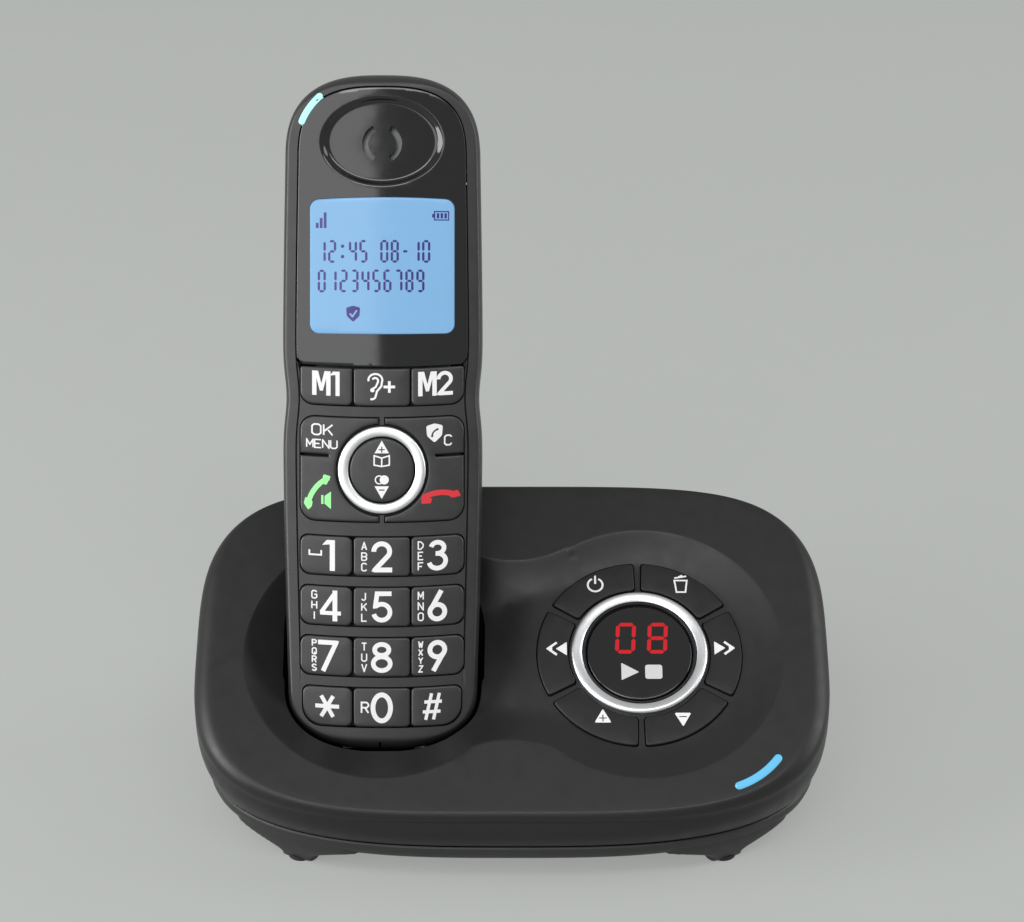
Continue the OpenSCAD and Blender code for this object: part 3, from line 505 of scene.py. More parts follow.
def key_sector(index, inset, step=3):
    """One answering machine key's outline, with its corners rounded a little."""
    mid = 60 * index
    half = 30 - key_gap / 2
    inner = key_inner + inset
    outer = key_outer - inset
    corner = 0.7
    trim_in = half - math.degrees(inset / inner)
    trim_out = half - math.degrees(inset / outer)
    soft_in = math.degrees(corner / inner)
    soft_out = math.degrees(corner / outer)
    line = arc(0, 0, outer, outer, -trim_out + soft_out, trim_out - soft_out, step)
    line.append(((outer - 0.3 * corner) * math.cos(math.radians(trim_out - 0.3 * soft_out)),
                 (outer - 0.3 * corner) * math.sin(math.radians(trim_out - 0.3 * soft_out))))
    for radius in (outer - corner, inner + corner):
        a = math.radians(trim_out if radius > key_middle_r else trim_in)
        line.append((radius * math.cos(a), radius * math.sin(a)))
    line += arc(0, 0, inner, inner, trim_in - soft_in, -trim_in + soft_in, step)
    for radius in (inner + corner, outer - corner):
        a = math.radians(trim_out if radius > key_middle_r else trim_in)
        line.append((radius * math.cos(a), -radius * math.sin(a)))
    line.append(((outer - 0.3 * corner) * math.cos(math.radians(trim_out - 0.3 * soft_out)),
                 -(outer - 0.3 * corner) * math.sin(math.radians(trim_out - 0.3 * soft_out))))
    turn = math.radians(mid)
    return [(keys_x + x * math.cos(turn) - y * math.sin(turn),
             keys_s + x * math.sin(turn) + y * math.cos(turn)) for x, y in line]


def bent_bar(u, v, radius, half, start, end):
    """A bar's outline, bent along an arc, with round ends."""
    line = arc(u, v, radius + half, radius + half, start, end, 2)
    for turn, cap_start, back in ((end, end, True), (start, start + 180, False)):
        cap_u = u + radius * math.cos(math.radians(turn))
        cap_v = v + radius * math.sin(math.radians(turn))
        line += arc(cap_u, cap_v, half, half, cap_start, cap_start + 180, 20)[1:-1]
        if back:
            line += arc(u, v, radius - half, radius - half, end, start, 2)
    return line


def light_outline(grow):
    """The base light's arc."""
    return bent_bar(48, -20, 22, 1 + grow, -69.6, -36.7)


windows = [key_sector(i, 0) for i in range(6)]
middle_hole = round_loop(keys_x, keys_s, 13.65, 5)
face_holes = [well_mouth] + windows + [middle_hole, light_outline(0.1)]
points, faces, rims = sheet(face_outline, face_holes, creases, 2.2,
                            lambda u, s: on_slope(u, s, -hollow_depth(u, s)))
edge_rings = [edge_ring(math.radians(a)) for a in range(6, 91, 6)]
wall_rings = [wall_ring(i / 8) for i in range(1, 8)]
lip_rings = [joint_ring(inset, joint_z + up) for inset, up in ((0, 0.45), (0.3, 0.15), (1.6, 0.12))]
carry_on(points, faces, rims[0], edge_rings + wall_rings + lip_rings)

# The well goes down along the handset's axis to its floor
well_floor = -0.6
well_rings = []
for step in range(1, 9):
    ring = []
    for p in well_rim:
        z = p.z + (well_floor - p.z) * step / 8
        narrow = well_half(max(z, 2)) / well_half(min(p.z, end_height)) if p.z > 2 else 1
        ring.append(handset_to_base @ Vector((p.x * min(1, narrow), p.y, z)))
    well_rings.append(ring)
last = carry_on(points, faces, rims[1], well_rings, inward=True)
to_handset = handset_to_base.inverted()
floor_outline = [(to_handset @ points[i]).to_2d() for i in last]
contact_slots = []
for side in (-1, 1):
    x = side * 9
    contact_slots.append([(x - 1.8, 13.1), (x + 1.8, 13.1), (x + 1.8, 14.9), (x - 1.8, 14.9)])
more_points, more_faces, _ = sheet(floor_outline, contact_slots, [], 3,
                                   lambda x, y: handset_to_base @ Vector((x, y, well_floor)), len(points))
points += more_points
faces += more_faces
satin_black = moulded("satin_black_plastic", "#1B1B1B", 0.42, 0.3, 0.006,
                      shift=0.05, spread=0.05, specular=0.36)
socket_mouth = [(15.4, 15.2), (25.6, 15.2), (25.6, 26.2), (15.4, 26.2)]
rear_cuts = [prism(socket_mouth, at_depth(36), at_depth(60)),
             prism(round_loop(34, 21, 4.1, 10), at_depth(34), at_depth(60))]
make("base_upper_shell", points, faces, base_matrix, satin_black, "base", ["base_top_cover"],
     wall=1.5, cuts=rear_cuts)

# ---- Base bottom cover ------------------------------------------------------------------
# The base's underside, one black moulding with four flared feet, a parting groove where the
# top cover drops over it, and a fan of sound slots under the loudspeaker.
underside_z = 6.5
foot_places = [(sx * 53, sy * 29.4) for sx in (-1, 1) for sy in (-1, 1)]
under_profile = [(0.35, 0.1), (0, 0.45), (0.1, 2), (0.6, 3.4), (1.5, 4.4), (2.9, 4.9), (4.6, 5)]
under_rings = [joint_ring(inset, joint_z - 0.1 - drop * 0.98) for inset, drop in under_profile]
under_outline = [(p.x, -p.y) for p in under_rings[-1]][::-1]


def slot_outline(u, v, half, reach):
    """A straight slot with round ends, whose end circles' middles are reach above and below v."""
    return arc(u, v + reach, half, half, 0, 180, 30) + arc(u, v - reach, half, half, 180, 360, 30)


sound_slots = []
for i in range(-4, 5):
    reach = (22 - abs(i) * 3) / 2 - 0.7
    sound_slots.append(slot_outline(keys_x + i * 3.2, 2, 0.7, reach))
screw_places = [(-67.3, 6), (67.3, 6), (0, -33), (0, 31)]
screw_holes = [round_loop(x, -y, 3, 12) for x, y in screw_places]
points, faces, rims = sheet(under_outline, sound_slots + screw_holes, [], 9,
                            lambda u, v: Vector((u, -v, underside_z)))
carry_on(points, faces, rims[0], [ring[::-1] for ring in reversed(under_rings[:-1])])
bottom_black = moulded("black_bottom_plastic", "#242424", 0.5, 0.45, 0.012, shift=0.05)
make("base_lower_shell", points, faces, base_matrix, bottom_black, "base", ["base_bottom_cover"],
     wall=1.6)


def inside_wall(x, y, z, foot_x, foot_y):
    """Draws a point in towards its foot's middle, softly, to keep it inside the base's side."""
    inset = 0.35 + 3 * max(0.0, (8 - z) / 8) ** 1.5
    low, high = 0.0, 3.0
    for _ in range(16):
        keep = (low + high) / 2
        u = foot_x + (x - foot_x) * keep
        v = foot_y + (y - foot_y) * keep
        across = (abs(u) / (joint_half[0] - inset)) ** joint_powers[0]
        along = (abs(v) / (joint_half[1] - inset)) ** joint_powers[1]
        if across + along <= 1:
            low = keep
        else:
            high = keep
    keep = (1 + low - math.sqrt((1 - low) ** 2 + 0.012)) / 2
    return foot_x + (x - foot_x) * keep, foot_y + (y - foot_y) * keep


foot_low = 0.25
foot_height = 10.6
foot_sole_r = 4.7
foot_spread = 13
count = 96
rings = 22
foot_points = []
foot_faces = []
for foot_x, foot_y in foot_places:
    first = len(foot_points)
    for ring in range(rings + 1):
        z = foot_low + foot_height * ring / rings
        flare = foot_sole_r + foot_spread * min(1, (z - foot_low) / 6.6) ** 2.4
        for i in range(count):
            a = 2 * math.pi * i / count
            u = foot_x + flare * math.cos(a)
            v = foot_y + flare * math.sin(a)
            foot_points.append(Vector((*inside_wall(u, v, z, foot_x, foot_y), z)))
    for ring in range(rings):
        for i in range(count):
            k = (i + 1) % count
            a, b = first + ring * count, first + (ring + 1) * count
            foot_faces.append((a + i, a + k, b + k, b + i))
    foot_faces.append(tuple(first + i for i in range(count - 1, -1, -1)))
    foot_faces.append(tuple(first + rings * count + i for i in range(count)))
make("base_flared_feet", foot_points, foot_faces, base_matrix, bottom_black, "base")

# ---- Answering machine keys ---------------------------------------------------------------
# Six matt black keys stand round the display like petals, each a separate moulding with
# softly rounded edges that presses down on a rubber mat and has a pad-printed pictogram.
key_black = moulded("matt_black_key", "#181818", 0.46, 0.25, 0.006, shift=0.04, specular=0.32)
round_profile = [(0.42, 0.0), (0.28, 0.03), (0.13, 0.1), (0.04, 0.22), (0, 0.42)]


def shrink(loop, inset):
    """A loop of 2D points moved inwards along its own normals."""
    moved = []
    count = len(loop)
    for i in range(count):
        before = Vector(loop[i - 1])
        here = Vector(loop[i])
        after = Vector(loop[(i + 1) % count])
        way = (here - before).normalized() + (after - here).normalized()
        if way.length < 1e-6:
            way = here - before
        way.normalize()
        lean_in = Vector((-way.y, way.x))
        turn = max(0.5, lean_in.dot(Vector((-(here - before).y, (here - before).x)).normalized()))
        moved.append(tuple(here + lean_in * inset / turn))
    return moved


def button(outline, profile, depth, lift, step=2.5):
    """A closed button: its crowned top, its rounded edge and its straight side. lift(u, v, d)
    gives the place of a point d below the top."""
    top = shrink(outline, profile[0][0])
    points, faces, rims = sheet(top, [], [], step, lambda u, v: lift(u, v, 0))
    rings = []
    for inset, down in profile[1:] + [(0, depth)]:
        rings.append([lift(u, v, down) for u, v in shrink(outline, inset)])
    rim = carry_on(points, faces, rims[0], rings)
    faces.append(tuple(reversed(rim)))
    return points, faces


key_names = ["forward", "delete", "power", "back", "louder", "quieter"]
key_top = -2.3
for index, name in enumerate(key_names):
    points, faces = button(key_sector(index, 0.25), round_profile, 4.2,
                           lambda u, s, d: on_slope(u, s, key_top - d))
    make("cap_" + name, points, faces, base_matrix, key_black, "base_key_" + name + "_button",
         ["base_key_" + name])


# Prints: thin films of ink, drawn as strokes and filled outlines
def stroke(line, width, closed=False):
    """A line of points as straight bars of one width, with a mitre piece at every corner."""
    count = len(line)
    last = count if closed else count - 1
    spans = [(Vector(line[i]), Vector(line[(i + 1) % count])) for i in range(last)]
    shapes = []
    sides = []
    for start, end in spans:
        along = (end - start).normalized()
        side = Vector((-along.y, along.x)) * width / 2
        sides.append(side)
        shapes.append([tuple(p) for p in (start - side, end - side, end + side, start + side)])
    for i in range(len(spans) if closed else len(spans) - 1):
        here = spans[i][1]
        before, after = sides[i], sides[(i + 1) % len(spans)]
        if before.cross(after) > 0:
            before, after = -before, -after
        both = before + after
        reach = min(0.75 * width, width ** 2 / 2 / max(1e-6, both.length))
        tip = here + both.normalized() * reach if both.length > 1e-6 else here
        shapes.append([tuple(p) for p in (here, here + before, tip, here + after)])
    return shapes


def covers(shape, x, y):
    """Whether a point lies inside an outline."""
    inside = False
    for (x0, y0), (x1, y1) in zip(shape, shape[1:] + shape[:1]):
        if (y0 > y) != (y1 > y) and x < x0 + (x1 - x0) * (y - y0) / (y1 - y0):
            inside = not inside
    return inside


def print_ink(name, inked, bare, lift, ink, body, thick=0.05):
    """A film of ink over every inked outline less the bare ones, lifted on to its surface."""
    flat = []
    loops = []
    for shape in inked + bare:
        loops.append(list(range(len(flat), len(flat) + len(shape))))
        flat += [Vector(p) for p in shape]
    edges = [(loop[i - 1], loop[i]) for loop in loops for i in range(len(loop))]
    found, _, triangles = delaunay_2d_cdt(flat, edges, [], 0, 1e-4, False)[:3]
    faces = []
    for face in triangles:
        x, y = sum((found[i] for i in face), Vector((0, 0))) / 3
        if any(covers(s, x, y) for s in inked) and not any(covers(s, x, y) for s in bare):
            faces.append(face)
    used = sorted({i for f in faces for i in f})
    order = {old: new for new, old in enumerate(used)}
    points = [lift(found[i][0], found[i][1]) for i in used]
    faces = [tuple(order[i] for i in f) for f in faces]
    return make(name, points, faces, base_matrix, ink, body, wall=thick)


def moved_shapes(shapes, u, v, size=1.0, slant=0.0):
    """Outlines drawn at another size, leaning by slant, about u and v."""
    return [[(u + (x + slant * y) * size, v + y * size) for x, y in shape] for shape in shapes]


white_ink = moulded("white_ink", "#D9D9D9", 0.45, 0.2, 0.002, shift=0.03)


def soft_polygon(corners, radius):
    """A filled outline with every corner rounded."""
    line = []
    count = len(corners)
    for i in range(count):
        here = Vector(corners[i])
        before = (Vector(corners[i - 1]) - here)
        after = (Vector(corners[(i + 1) % count]) - here)
        a = here + before.normalized() * radius
        b = here + after.normalized() * radius
        for t in (0, 0.25, 0.5, 0.75, 1):
            line.append(tuple(a * (1 - t) ** 2 + here * 2 * t * (1 - t) + b * t ** 2))
    return line


plus_mark = stroke([(-0.95, 0), (0.95, 0)], 0.28) + stroke([(0, -0.95), (0, 0.95)], 0.28)
minus_mark = stroke([(-0.95, 0), (0.95, 0)], 0.28)
up_arrow = soft_polygon([(-2.1, -1.6), (2.1, -1.6), (0, 2.2)], 0.45)
down_arrow = soft_polygon([(2.1, 1.6), (-2.1, 1.6), (0, -2.2)], 0.45)
key_icons = {
    "power": (stroke(arc(0, 0, 1.9, 1.9, 115, 425, 10), 0.5) + stroke([(0, 0.3), (0, 2.7)], 0.5), []),
    "delete": (stroke([(-1.6, 1.3), (1.6, 1.3), (1.15, -2.1), (-1.15, -2.1)], 0.42, True)
               + stroke([(-1.6, 2.0), (1.5, 2.55)], 0.42) + stroke([(-0.5, 2.3), (0.5, 2.75)], 0.5), []),
    "louder": ([up_arrow], moved_shapes(plus_mark, 0, -0.35)),
    "quieter": ([down_arrow], moved_shapes(minus_mark, 0, 0.55)),
    "forward": ([soft_polygon([(-2.5, -1.9), (0.3, 0), (-2.5, 1.9)], 0.2)]
                + stroke([(0.05, 1.75), (2.3, 0), (0.05, -1.75)], 0.6)
                + [[(1.2, 0.8), (1.2, -0.8), (2.5, 0)]],
                []),
    "back": ([soft_polygon([(2.5, 1.9), (-0.3, 0), (2.5, -1.9)], 0.2)]
             + stroke([(-0.05, -1.75), (-2.3, 0), (-0.05, 1.75)], 0.6)
             + [[(-1.2, -0.8), (-1.2, 0.8), (-2.5, 0)]],
             []),
}
icon_places = {"power": (-10.9, 19.6), "delete": (11.1, 19.6), "back": (-20.9, 1.1),
               "forward": (21.5, 1.3), "louder": (-9.6, -18.1), "quieter": (10.4, -18.6)}


def on_base_key(u, s):
    """A print's place, a hair over the tops of the base's keys."""
    return on_slope(u, s, key_top + 0.04)


for name, (inked, bare) in key_icons.items():
    u, s = icon_places[name]
    print_ink("icon_" + name, moved_shapes(inked, keys_x + u, keys_s + s),
              moved_shapes(bare, keys_x + u, keys_s + s),
              on_base_key, white_ink, "base_key_" + name + "_button")

# ---- Play key, bright ring and message display ----------------------------------------------
# A satin-turned metal ring is clipped into the base round the gloss black play key, whose
# smoked face lets the red seven-segment digits of the message counter shine through.


def turned(profile, place):
    """A closed ring turned from a profile of radius and height, as points and faces."""
    count = 160
    points = []
    faces = []
    size = len(profile)
    for i in range(count):
        a = 2 * math.pi * i / count
        for radius, height in profile:
            points.append(place(radius * math.cos(a), radius * math.sin(a), height))
    for i in range(count):
        for j in range(size):
            a, b = i * size, ((i + 1) % count) * size
            k = (j + 1) % size
            faces.append((a + j, b + j, b + k, a + k))
    return points, faces


def on_keys_axis(x, y, height):
    """A point round the middle of the answering machine's keys."""
    return on_slope(keys_x + x, keys_s + y, height)


satin_metal = moulded("satin_turned_metal", "#E2E3E5", 0.36, 0.15, 0.0015, metallic=1.0,
                      shift=0.03, spread=0.04)
ring_profile = [(17.3, -3), (17.3, -2.1), (17.15, -1.75), (16.8, -1.5), (16.3, -1.42),
                (14.95, -1.75), (14.6, -1.95), (14.45, -2.3), (14.4, -3)]
points, faces = turned(ring_profile, on_keys_axis)
make("play_bright_ring", points, faces, base_matrix, satin_metal, "base", ["play_ring"])
bezel_profile = [(14.4, -3), (14.4, -2.1), (14.25, -1.95), (13.95, -1.95), (13.8, -2.15), (13.75, -3)]
points, faces = turned(bezel_profile, on_keys_axis)
make("play_dark_bezel", points, faces, base_matrix, key_black, "base")

smoked_gloss = moulded("smoked_gloss_black", "#0D0D0E", 0.12, 0.5, 0.0008, coat=0.3,
                       shift=0.05, spread=0.03)
points, faces = button(round_loop(keys_x, keys_s, 13.4, 4),
                       [(0.5, 0), (0.3, 0.05), (0.12, 0.17), (0.03, 0.33), (0, 0.55)], 4.2,
                       lambda u, s, d: on_slope(u, s, key_top - d), 3)
make("play_key_cap", points, faces, base_matrix, smoked_gloss, "play_key_button", ["play_key"])
grey_ink = moulded("grey_ink", "#BDBDBD", 0.45, 0.2, 0.002, shift=0.03)
play_shapes = [soft_polygon([(-4.35, -5.7), (-0.2, -3.55), (-4.35, -1.15)], 0.25),
               soft_polygon([(1.2, -5.35), (5.2, -5.35), (5.2, -1.65), (1.2, -1.65)], 0.7)]
print_ink("icon_play_and_stop", moved_shapes(play_shapes, keys_x, keys_s - 1.7, 1.08), [],
          on_base_key, grey_ink, "play_key_button")


def segments(lit, width, height, bar):
    """The lit bars of a seven-segment digit about its centre: a to g, clockwise from the top."""
    half_w = width / 2 - bar / 2
    half_h = height / 2 - bar / 2
    gap = bar * 0.16
    ends = {"a": ((-half_w, half_h), (half_w, half_h)), "b": ((half_w, half_h), (half_w, 0)),
            "c": ((half_w, 0), (half_w, -half_h)), "d": ((half_w, -half_h), (-half_w, -half_h)),
            "e": ((-half_w, -half_h), (-half_w, 0)), "f": ((-half_w, 0), (-half_w, half_h)),
            "g": ((-half_w, 0), (half_w, 0))}
    shapes = []
    for mark in lit:
        a, b = (Vector(p) for p in ends[mark])
        along = (b - a).normalized()
        side = Vector((-along.y, along.x)) * bar / 2
        a, b = a + along * gap, b - along * gap
        tip = along * bar / 2
        corners = (a, a + tip - side, b - tip - side, b, b - tip + side, a + tip + side)
        shapes.append([tuple(p) for p in corners])
    return shapes


digit_bars = {"0": "abcdef", "1": "bc", "2": "abged", "3": "abgcd", "4": "fgbc", "5": "afgcd",
              "6": "afgedc", "7": "abc", "8": "abcdefg", "9": "abcdfg", "-": "g"}
red_glow = glowing("red_display_glow", "#D8242C", "#3A0A0C", 0.85, specular=0.15)
counter = []
for digit, u in (("0", -3.45), ("8", 4.65)):
    counter += moved_shapes(segments(digit_bars[digit], 5.1, 8.8, 1.0), keys_x + u, keys_s + 4.1, 1, 0.06)
print_ink("message_digits", counter, [], on_base_key, red_glow, "play_key_button")

# ---- Base light, pads, screws and sockets -------------------------------------------------------
# A clear blue light pipe pushes up through the face. Rubber pads are pressed into the feet,
# steel screws hold the covers, and the two sockets are black mouldings on the board's edge.
blue_glow = glowing("blue_light_glow", "#6CC4EE", "#2C5872", 0.85)
points, faces = button(light_outline(0), [(0.35, 0.1), (0.2, 0.14), (0.08, 0.24), (0, 0.45)], 3.8,
                       lambda u, s, d: on_slope(u, s, 0.28 - d), 3)
make("base_light", points, faces, base_matrix, blue_glow, "base", ["base_light_pipe"])


def paint(material, *names):
    """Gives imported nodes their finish."""
    for name in names:
        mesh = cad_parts[name].data
        mesh.materials.clear()
        mesh.materials.append(material)


black_rubber = moulded("black_rubber", "#1B1B1B", 0.8, 0.5, 0.02, shift=0.12)
screw_steel = moulded("zinc_screw_steel", "#8F9194", 0.35, 0.2, 0.004, metallic=1.0, shift=0.08)
socket_black = moulded("black_socket_plastic", "#161616", 0.45, 0.3, 0.006)
contact_steel = moulded("nickel_contact", "#B9B5A6", 0.28, 0.2, 0.003, metallic=1.0)
speaker_steel = moulded("stamped_speaker_steel", "#6B6C6E", 0.38, 0.3, 0.004, metallic=0.9)
board_green = moulded("solder_mask_green", "#14452B", 0.35, 0.8, 0.008, coat=0.3, shift=0.15)
grey_rubber = moulded("carbon_key_rubber", "#4A4A4C", 0.7, 0.5, 0.01)
paint(black_rubber, "base_feet")
paint(screw_steel, "base_screws", "handset_screws")
paint(socket_black, "line_socket", "power_socket")
paint(contact_steel, "cradle_contact_left", "cradle_contact_right", "handset_charge_pads",
      "battery_contacts")
paint(speaker_steel, "base_loudspeaker", "earpiece_speaker", "ringer_speaker", "microphone")
paint(board_green, "base_circuit_board", "handset_circuit_board")
paint(grey_rubber, "base_key_mat", "keypad_mat")
paint(moulded("dark_display_epoxy", "#2B0B0C", 0.3), "message_display")

# ---- Handset front cover --------------------------------------------------------------------
# The handset's front shell: black ABS, gently crowned across, its edge rolled round to the
# joint, with a fine groove that frames the keys and one window for each row of keys.
handset_length = 170
handset_half = 23.8
bottom_end = 16
top_end = 22
side_top = handset_length - top_end
joint_y = 10
back_y = 25
waist_z = 88.8


def side_half(z):
    """Half the handset's width at height z along its sides, which bow out and pinch at the waist."""
    along = (z - bottom_end) / (side_top - bottom_end)
    waist = 0.9 * math.exp(-((z - waist_z) / 7) ** 2)
    return handset_half + 0.8 * along + 0.95 * math.sin(math.pi * along) - waist


def handset_outline():
    """The handset's outline in x and z, anticlockwise from the middle of its bottom end."""
    right = []
    steps = 44
    for i in range(steps):
        a = math.pi / 2 * math.cos(math.pi / 2 * i / steps) ** 2
        right.append((handset_half * math.cos(a) ** (2 / 2.5) if i else 0.0,
                      bottom_end - bottom_end * math.sin(a) ** (2 / 2.5)))
    for i in range(64):
        z = bottom_end + (side_top - bottom_end) * i / 64
        right.append((side_half(z), z))
    for i in range(steps + 1):
        a = math.pi / 2 * math.sin(math.pi / 2 * i / steps) ** 2
        right.append((side_half(side_top) * math.cos(a) ** (2 / 2.7) if i < steps else 0.0,
                      side_top + top_end * math.sin(a) ** (2 / 2.7)))
    return right + [(-x, z) for x, z in reversed(right[1:-1])]


outline = handset_outline()
outline_tree = KDTree(len(outline) * 4)
for i, (x, z) in enumerate(outline):
    ahead = outline[(i + 1) % len(outline)]
    for part in range(4):
        spot = Vector((x, z, 0)).lerp(Vector((ahead[0], ahead[1], 0)), part / 4)
        outline_tree.insert(spot, 4 * i + part)
outline_tree.balance()
crown_r = 150
roll_in = 4.2
roll_deep = 5.5
roll_start = -0.3


def crown(x):
    """How far the face falls back at x, because it is crowned across."""
    return crown_r - math.sqrt(crown_r ** 2 - x * x)


def rolled(x, y):
    """The larger of the crown and the rolled edge's depth, with the meeting line softened."""
    flat = crown(x)
    return (flat + y + math.sqrt((flat - y) ** 2 + 0.06)) / 2


def face_y(x, z):
    """The depth of the front cover's face, with the groove that frames the keys."""
    inset = outline_tree.find((x, z, 0))[2]
    lean_in = max(0.0, min(1.0, (roll_in - inset) / roll_in))
    edge = roll_start + roll_deep * (1 - math.sqrt(1 - lean_in ** 2))
    groove = 0.45 * max(0.0, 1 - abs(inset - 3.5) / 0.22) * blend(12, 34, z)
    return rolled(x, edge) + groove


def bend(x, z):
    """Rows of keys curve up a little towards the handset's sides."""
    return z + x * x / 500 - 0.2


def rounded_outline(x0, x1, z0, z1, corners, bent=True):
    """A rounded box, its corner radii from the lower left anticlockwise, bent with its row."""
    low_left, low_right, top_right, top_left = corners
    line = []
    for x, z, radius, start in ((x0 + low_left, z0 + low_left, low_left, 180),
                                (x1 - low_right, z0 + low_right, low_right, 270),
                                (x1 - top_right, z1 - top_right, top_right, 0),
                                (x0 + top_left, z1 - top_left, top_left, 90)):
        line += arc(x, z, radius, radius, start, start + 90, 15)
    full = []
    for i, here in enumerate(line):
        after = line[(i + 1) % len(line)]
        parts = max(1, int(math.dist(here, after) / 1.6))
        for k in range(parts):
            full.append((here[0] + (after[0] - here[0]) * k / parts,
                         here[1] + (after[1] - here[1]) * k / parts))
    return [(x, bend(x, z)) for x, z in full] if bent else full


first_row = 6.2
key_height = 9.8
row_pitch = 12.6
block_z = 57.3
block_h = 26.6
memory_z = 86.6
memory_h = 9.4
nav_z = 70.4
outer_x = 20.5
column_half = 7.05
key_gap_x = 0.35
key_play = 0.25
row_corners = [(2.6, 2.6, 2.2, 2.2)] * 3 + [(4.8, 4.8, 2.0, 2.0)]


def row_low(row):
    """The height of a row's lower edge; row 3 is the lowest."""
    return first_row + (3 - row) * row_pitch


row_tapers = (0, 0, 0, 0.6)
row_windows = []
for row in range(4):
    half = outer_x - row_tapers[row] + key_play
    row_windows.append(rounded_outline(-half, half, row_low(row) - key_play,
                                       row_low(row) + key_height + key_play, row_corners[row]))


def inset_outline(inset):
    """The handset's outline moved in."""
    return shrink(outline, inset)


def from_low_right(line):
    """A loop's points, starting from its lowest point on the right."""
    start = max(range(len(line)), key=lambda i: (line[i][0] > 0) * 1000 - line[i][1])
    return line[start:] + line[:start]


# The fascia's opening runs on into the memory keys' window
fascia_low = 96.2
fascia_side = [(x, z) for x, z in inset_outline(3.45) if bend(x, fascia_low) < z]
memory_edge = rounded_outline(-20.75, 20.75, memory_z - key_play, fascia_low, (3.4, 3.4, 0.01, 0.01))
memory_lower = [(x, z) for x, z in memory_edge if z < bend(x, fascia_low) - 0.05]
turn_at = min(range(len(memory_lower)), key=lambda i: (memory_lower[i][0], -memory_lower[i][1]))
memory_lower = memory_lower[turn_at:] + memory_lower[:turn_at]
big_window = memory_lower + from_low_right(fascia_side)


def block_half(side, inset, slotted=True):
    """Half of the block of function keys: a rounded box less the round middle and a slot."""
    ring = 11.35 + inset
    low = block_z + inset
    high = block_z + block_h - inset
    inner = 0.55 + inset
    outer = outer_x - inset + key_play
    radius = 3.9 - inset
    line = [(inner, low)]
    line += [(inner + (outer - radius - inner) * i / 6, low) for i in range(1, 6)]
    line += arc(outer - radius, low + radius, radius, radius, 270, 360, 12)
    if slotted:
        slot_half = inset
        slot_z = 73.9
        tip = 13.6 - inset
        line += [(outer, slot_z - slot_half)] + [(outer - i, slot_z - slot_half) for i in (2, 4)]
        line += arc(tip + slot_half, slot_z, slot_half, slot_half, 270, 90, 30)
        line += [(outer - i, slot_z + slot_half) for i in (4, 2)] + [(outer, slot_z + slot_half)]
    line += arc(outer - radius, high - radius, radius, radius, 0, 90, 12)
    line += [(inner + (outer - radius - inner) * i / 6, high) for i in range(5, 0, -1)]
    line.append((inner, high))
    swing = math.degrees(math.acos(inner / ring))
    line += arc(0, nav_z, ring, ring, swing, -swing, 3)
    bent = [(x, bend(x, z) if math.hypot(x, z - nav_z) > ring + 0.01 else z) for x, z in line]
    return bent if side > 0 else [(-x, z) for x, z in reversed(bent)]


block_windows = [block_half(side, 0, False) for side in (-1, 1)]
nav_window = round_loop(0, nav_z, 11.3, 3)
sheet_inset = 2.2
groove_lines = [inset_outline(i) for i in (2.7, 3.28, 3.5, 3.72, 4.2)]
groove_lines = [line + line[:1] for line in groove_lines]
points, faces, rims = sheet(inset_outline(sheet_inset),
                            row_windows + [big_window] + block_windows + [nav_window],
                            groove_lines, 1.9, lambda x, z: Vector((x, face_y(x, z), z)))
cover_rings = []
for turn in (32, 37, 43, 49, 55, 62, 69, 76, 83, 90):
    a = math.radians(turn)
    inset = roll_in * (1 - math.sin(a))
    depth = roll_start + roll_deep * (1 - math.cos(a))
    cover_rings.append([Vector((x, rolled(x, depth), z)) for x, z in inset_outline(inset)])
for inset, depth in ((0, joint_y - 0.5), (0.12, joint_y - 0.2), (0.45, joint_y - 0.12)):
    cover_rings.append([Vector((x, depth, z)) for x, z in inset_outline(inset)])
carry_on(points, faces, rims[0], cover_rings)
handset_black = moulded("handset_black_plastic", "#232323", 0.4, 0.3, 0.005, shift=0.05, spread=0.05)
mic_notch = prism(rounded_outline(-0.8, -0.2, 0.6, 2.3, (0.28,) * 4, False), at_depth(-1), at_depth(6))
make("handset_front_shell", points, faces, in_handset, handset_black, "handset",
     ["handset_front_cover"], wall=1.1, cuts=[mic_notch])

# ---- Handset rear cover and battery door --------------------------------------------------------
# The rear shell is rounded like a river stone so that it sits in the palm. It carries the
# ringer's slots, four deep screw holes and the battery door, which lifts straight off it.
rear_roll = 13.5
rear_deep = 15


def rear_ring(turn):
    """A ring of the rear shell, at an angle round its back edge."""
    a = math.radians(turn)
    inset = rear_roll * (1 - math.cos(a)) * 0.83
    depth = back_y - rear_deep + rear_deep * math.sin(a)
    half_x = 25.1
    half_z = handset_length / 2
    return [Vector((x * (1 - inset / half_x), depth, half_z + (z - half_z) * (1 - inset / half_z)))
            for x, z in outline]


rear_rings = [[Vector((x, joint_y + 0.12, z)) for x, z in inset_outline(0.45)],
              [Vector((x, joint_y + 0.2, z)) for x, z in inset_outline(0.12)],
              [Vector((x, joint_y + 0.5, z)) for x, z in outline]]
rear_rings += [rear_ring(a) for a in range(6, 85, 6)]
back_ring = rear_ring(90)
door_low = 72
door_high = door_low + 52.2
door_half = 13.2
back_outline = [(-p.x, p.z) for p in back_ring][::-1]
ringer_z = handset_length - 24
ringer_slots = []
for i in range(-3, 4):
    reach = (12 - abs(i) * 1.6) / 2 - 0.55
    ringer_slots.append(slot_outline(i * 2.6, ringer_z, 0.55, reach))
door_window = rounded_outline(-door_half, door_half, door_low, door_high, (2.2,) * 4, False)


def back_place(u, v, down=0.0):
    """The back face, domed by a hair's breadth so that it catches light softly."""
    return Vector((-u, back_y - down - 0.0008 * u * u, v))


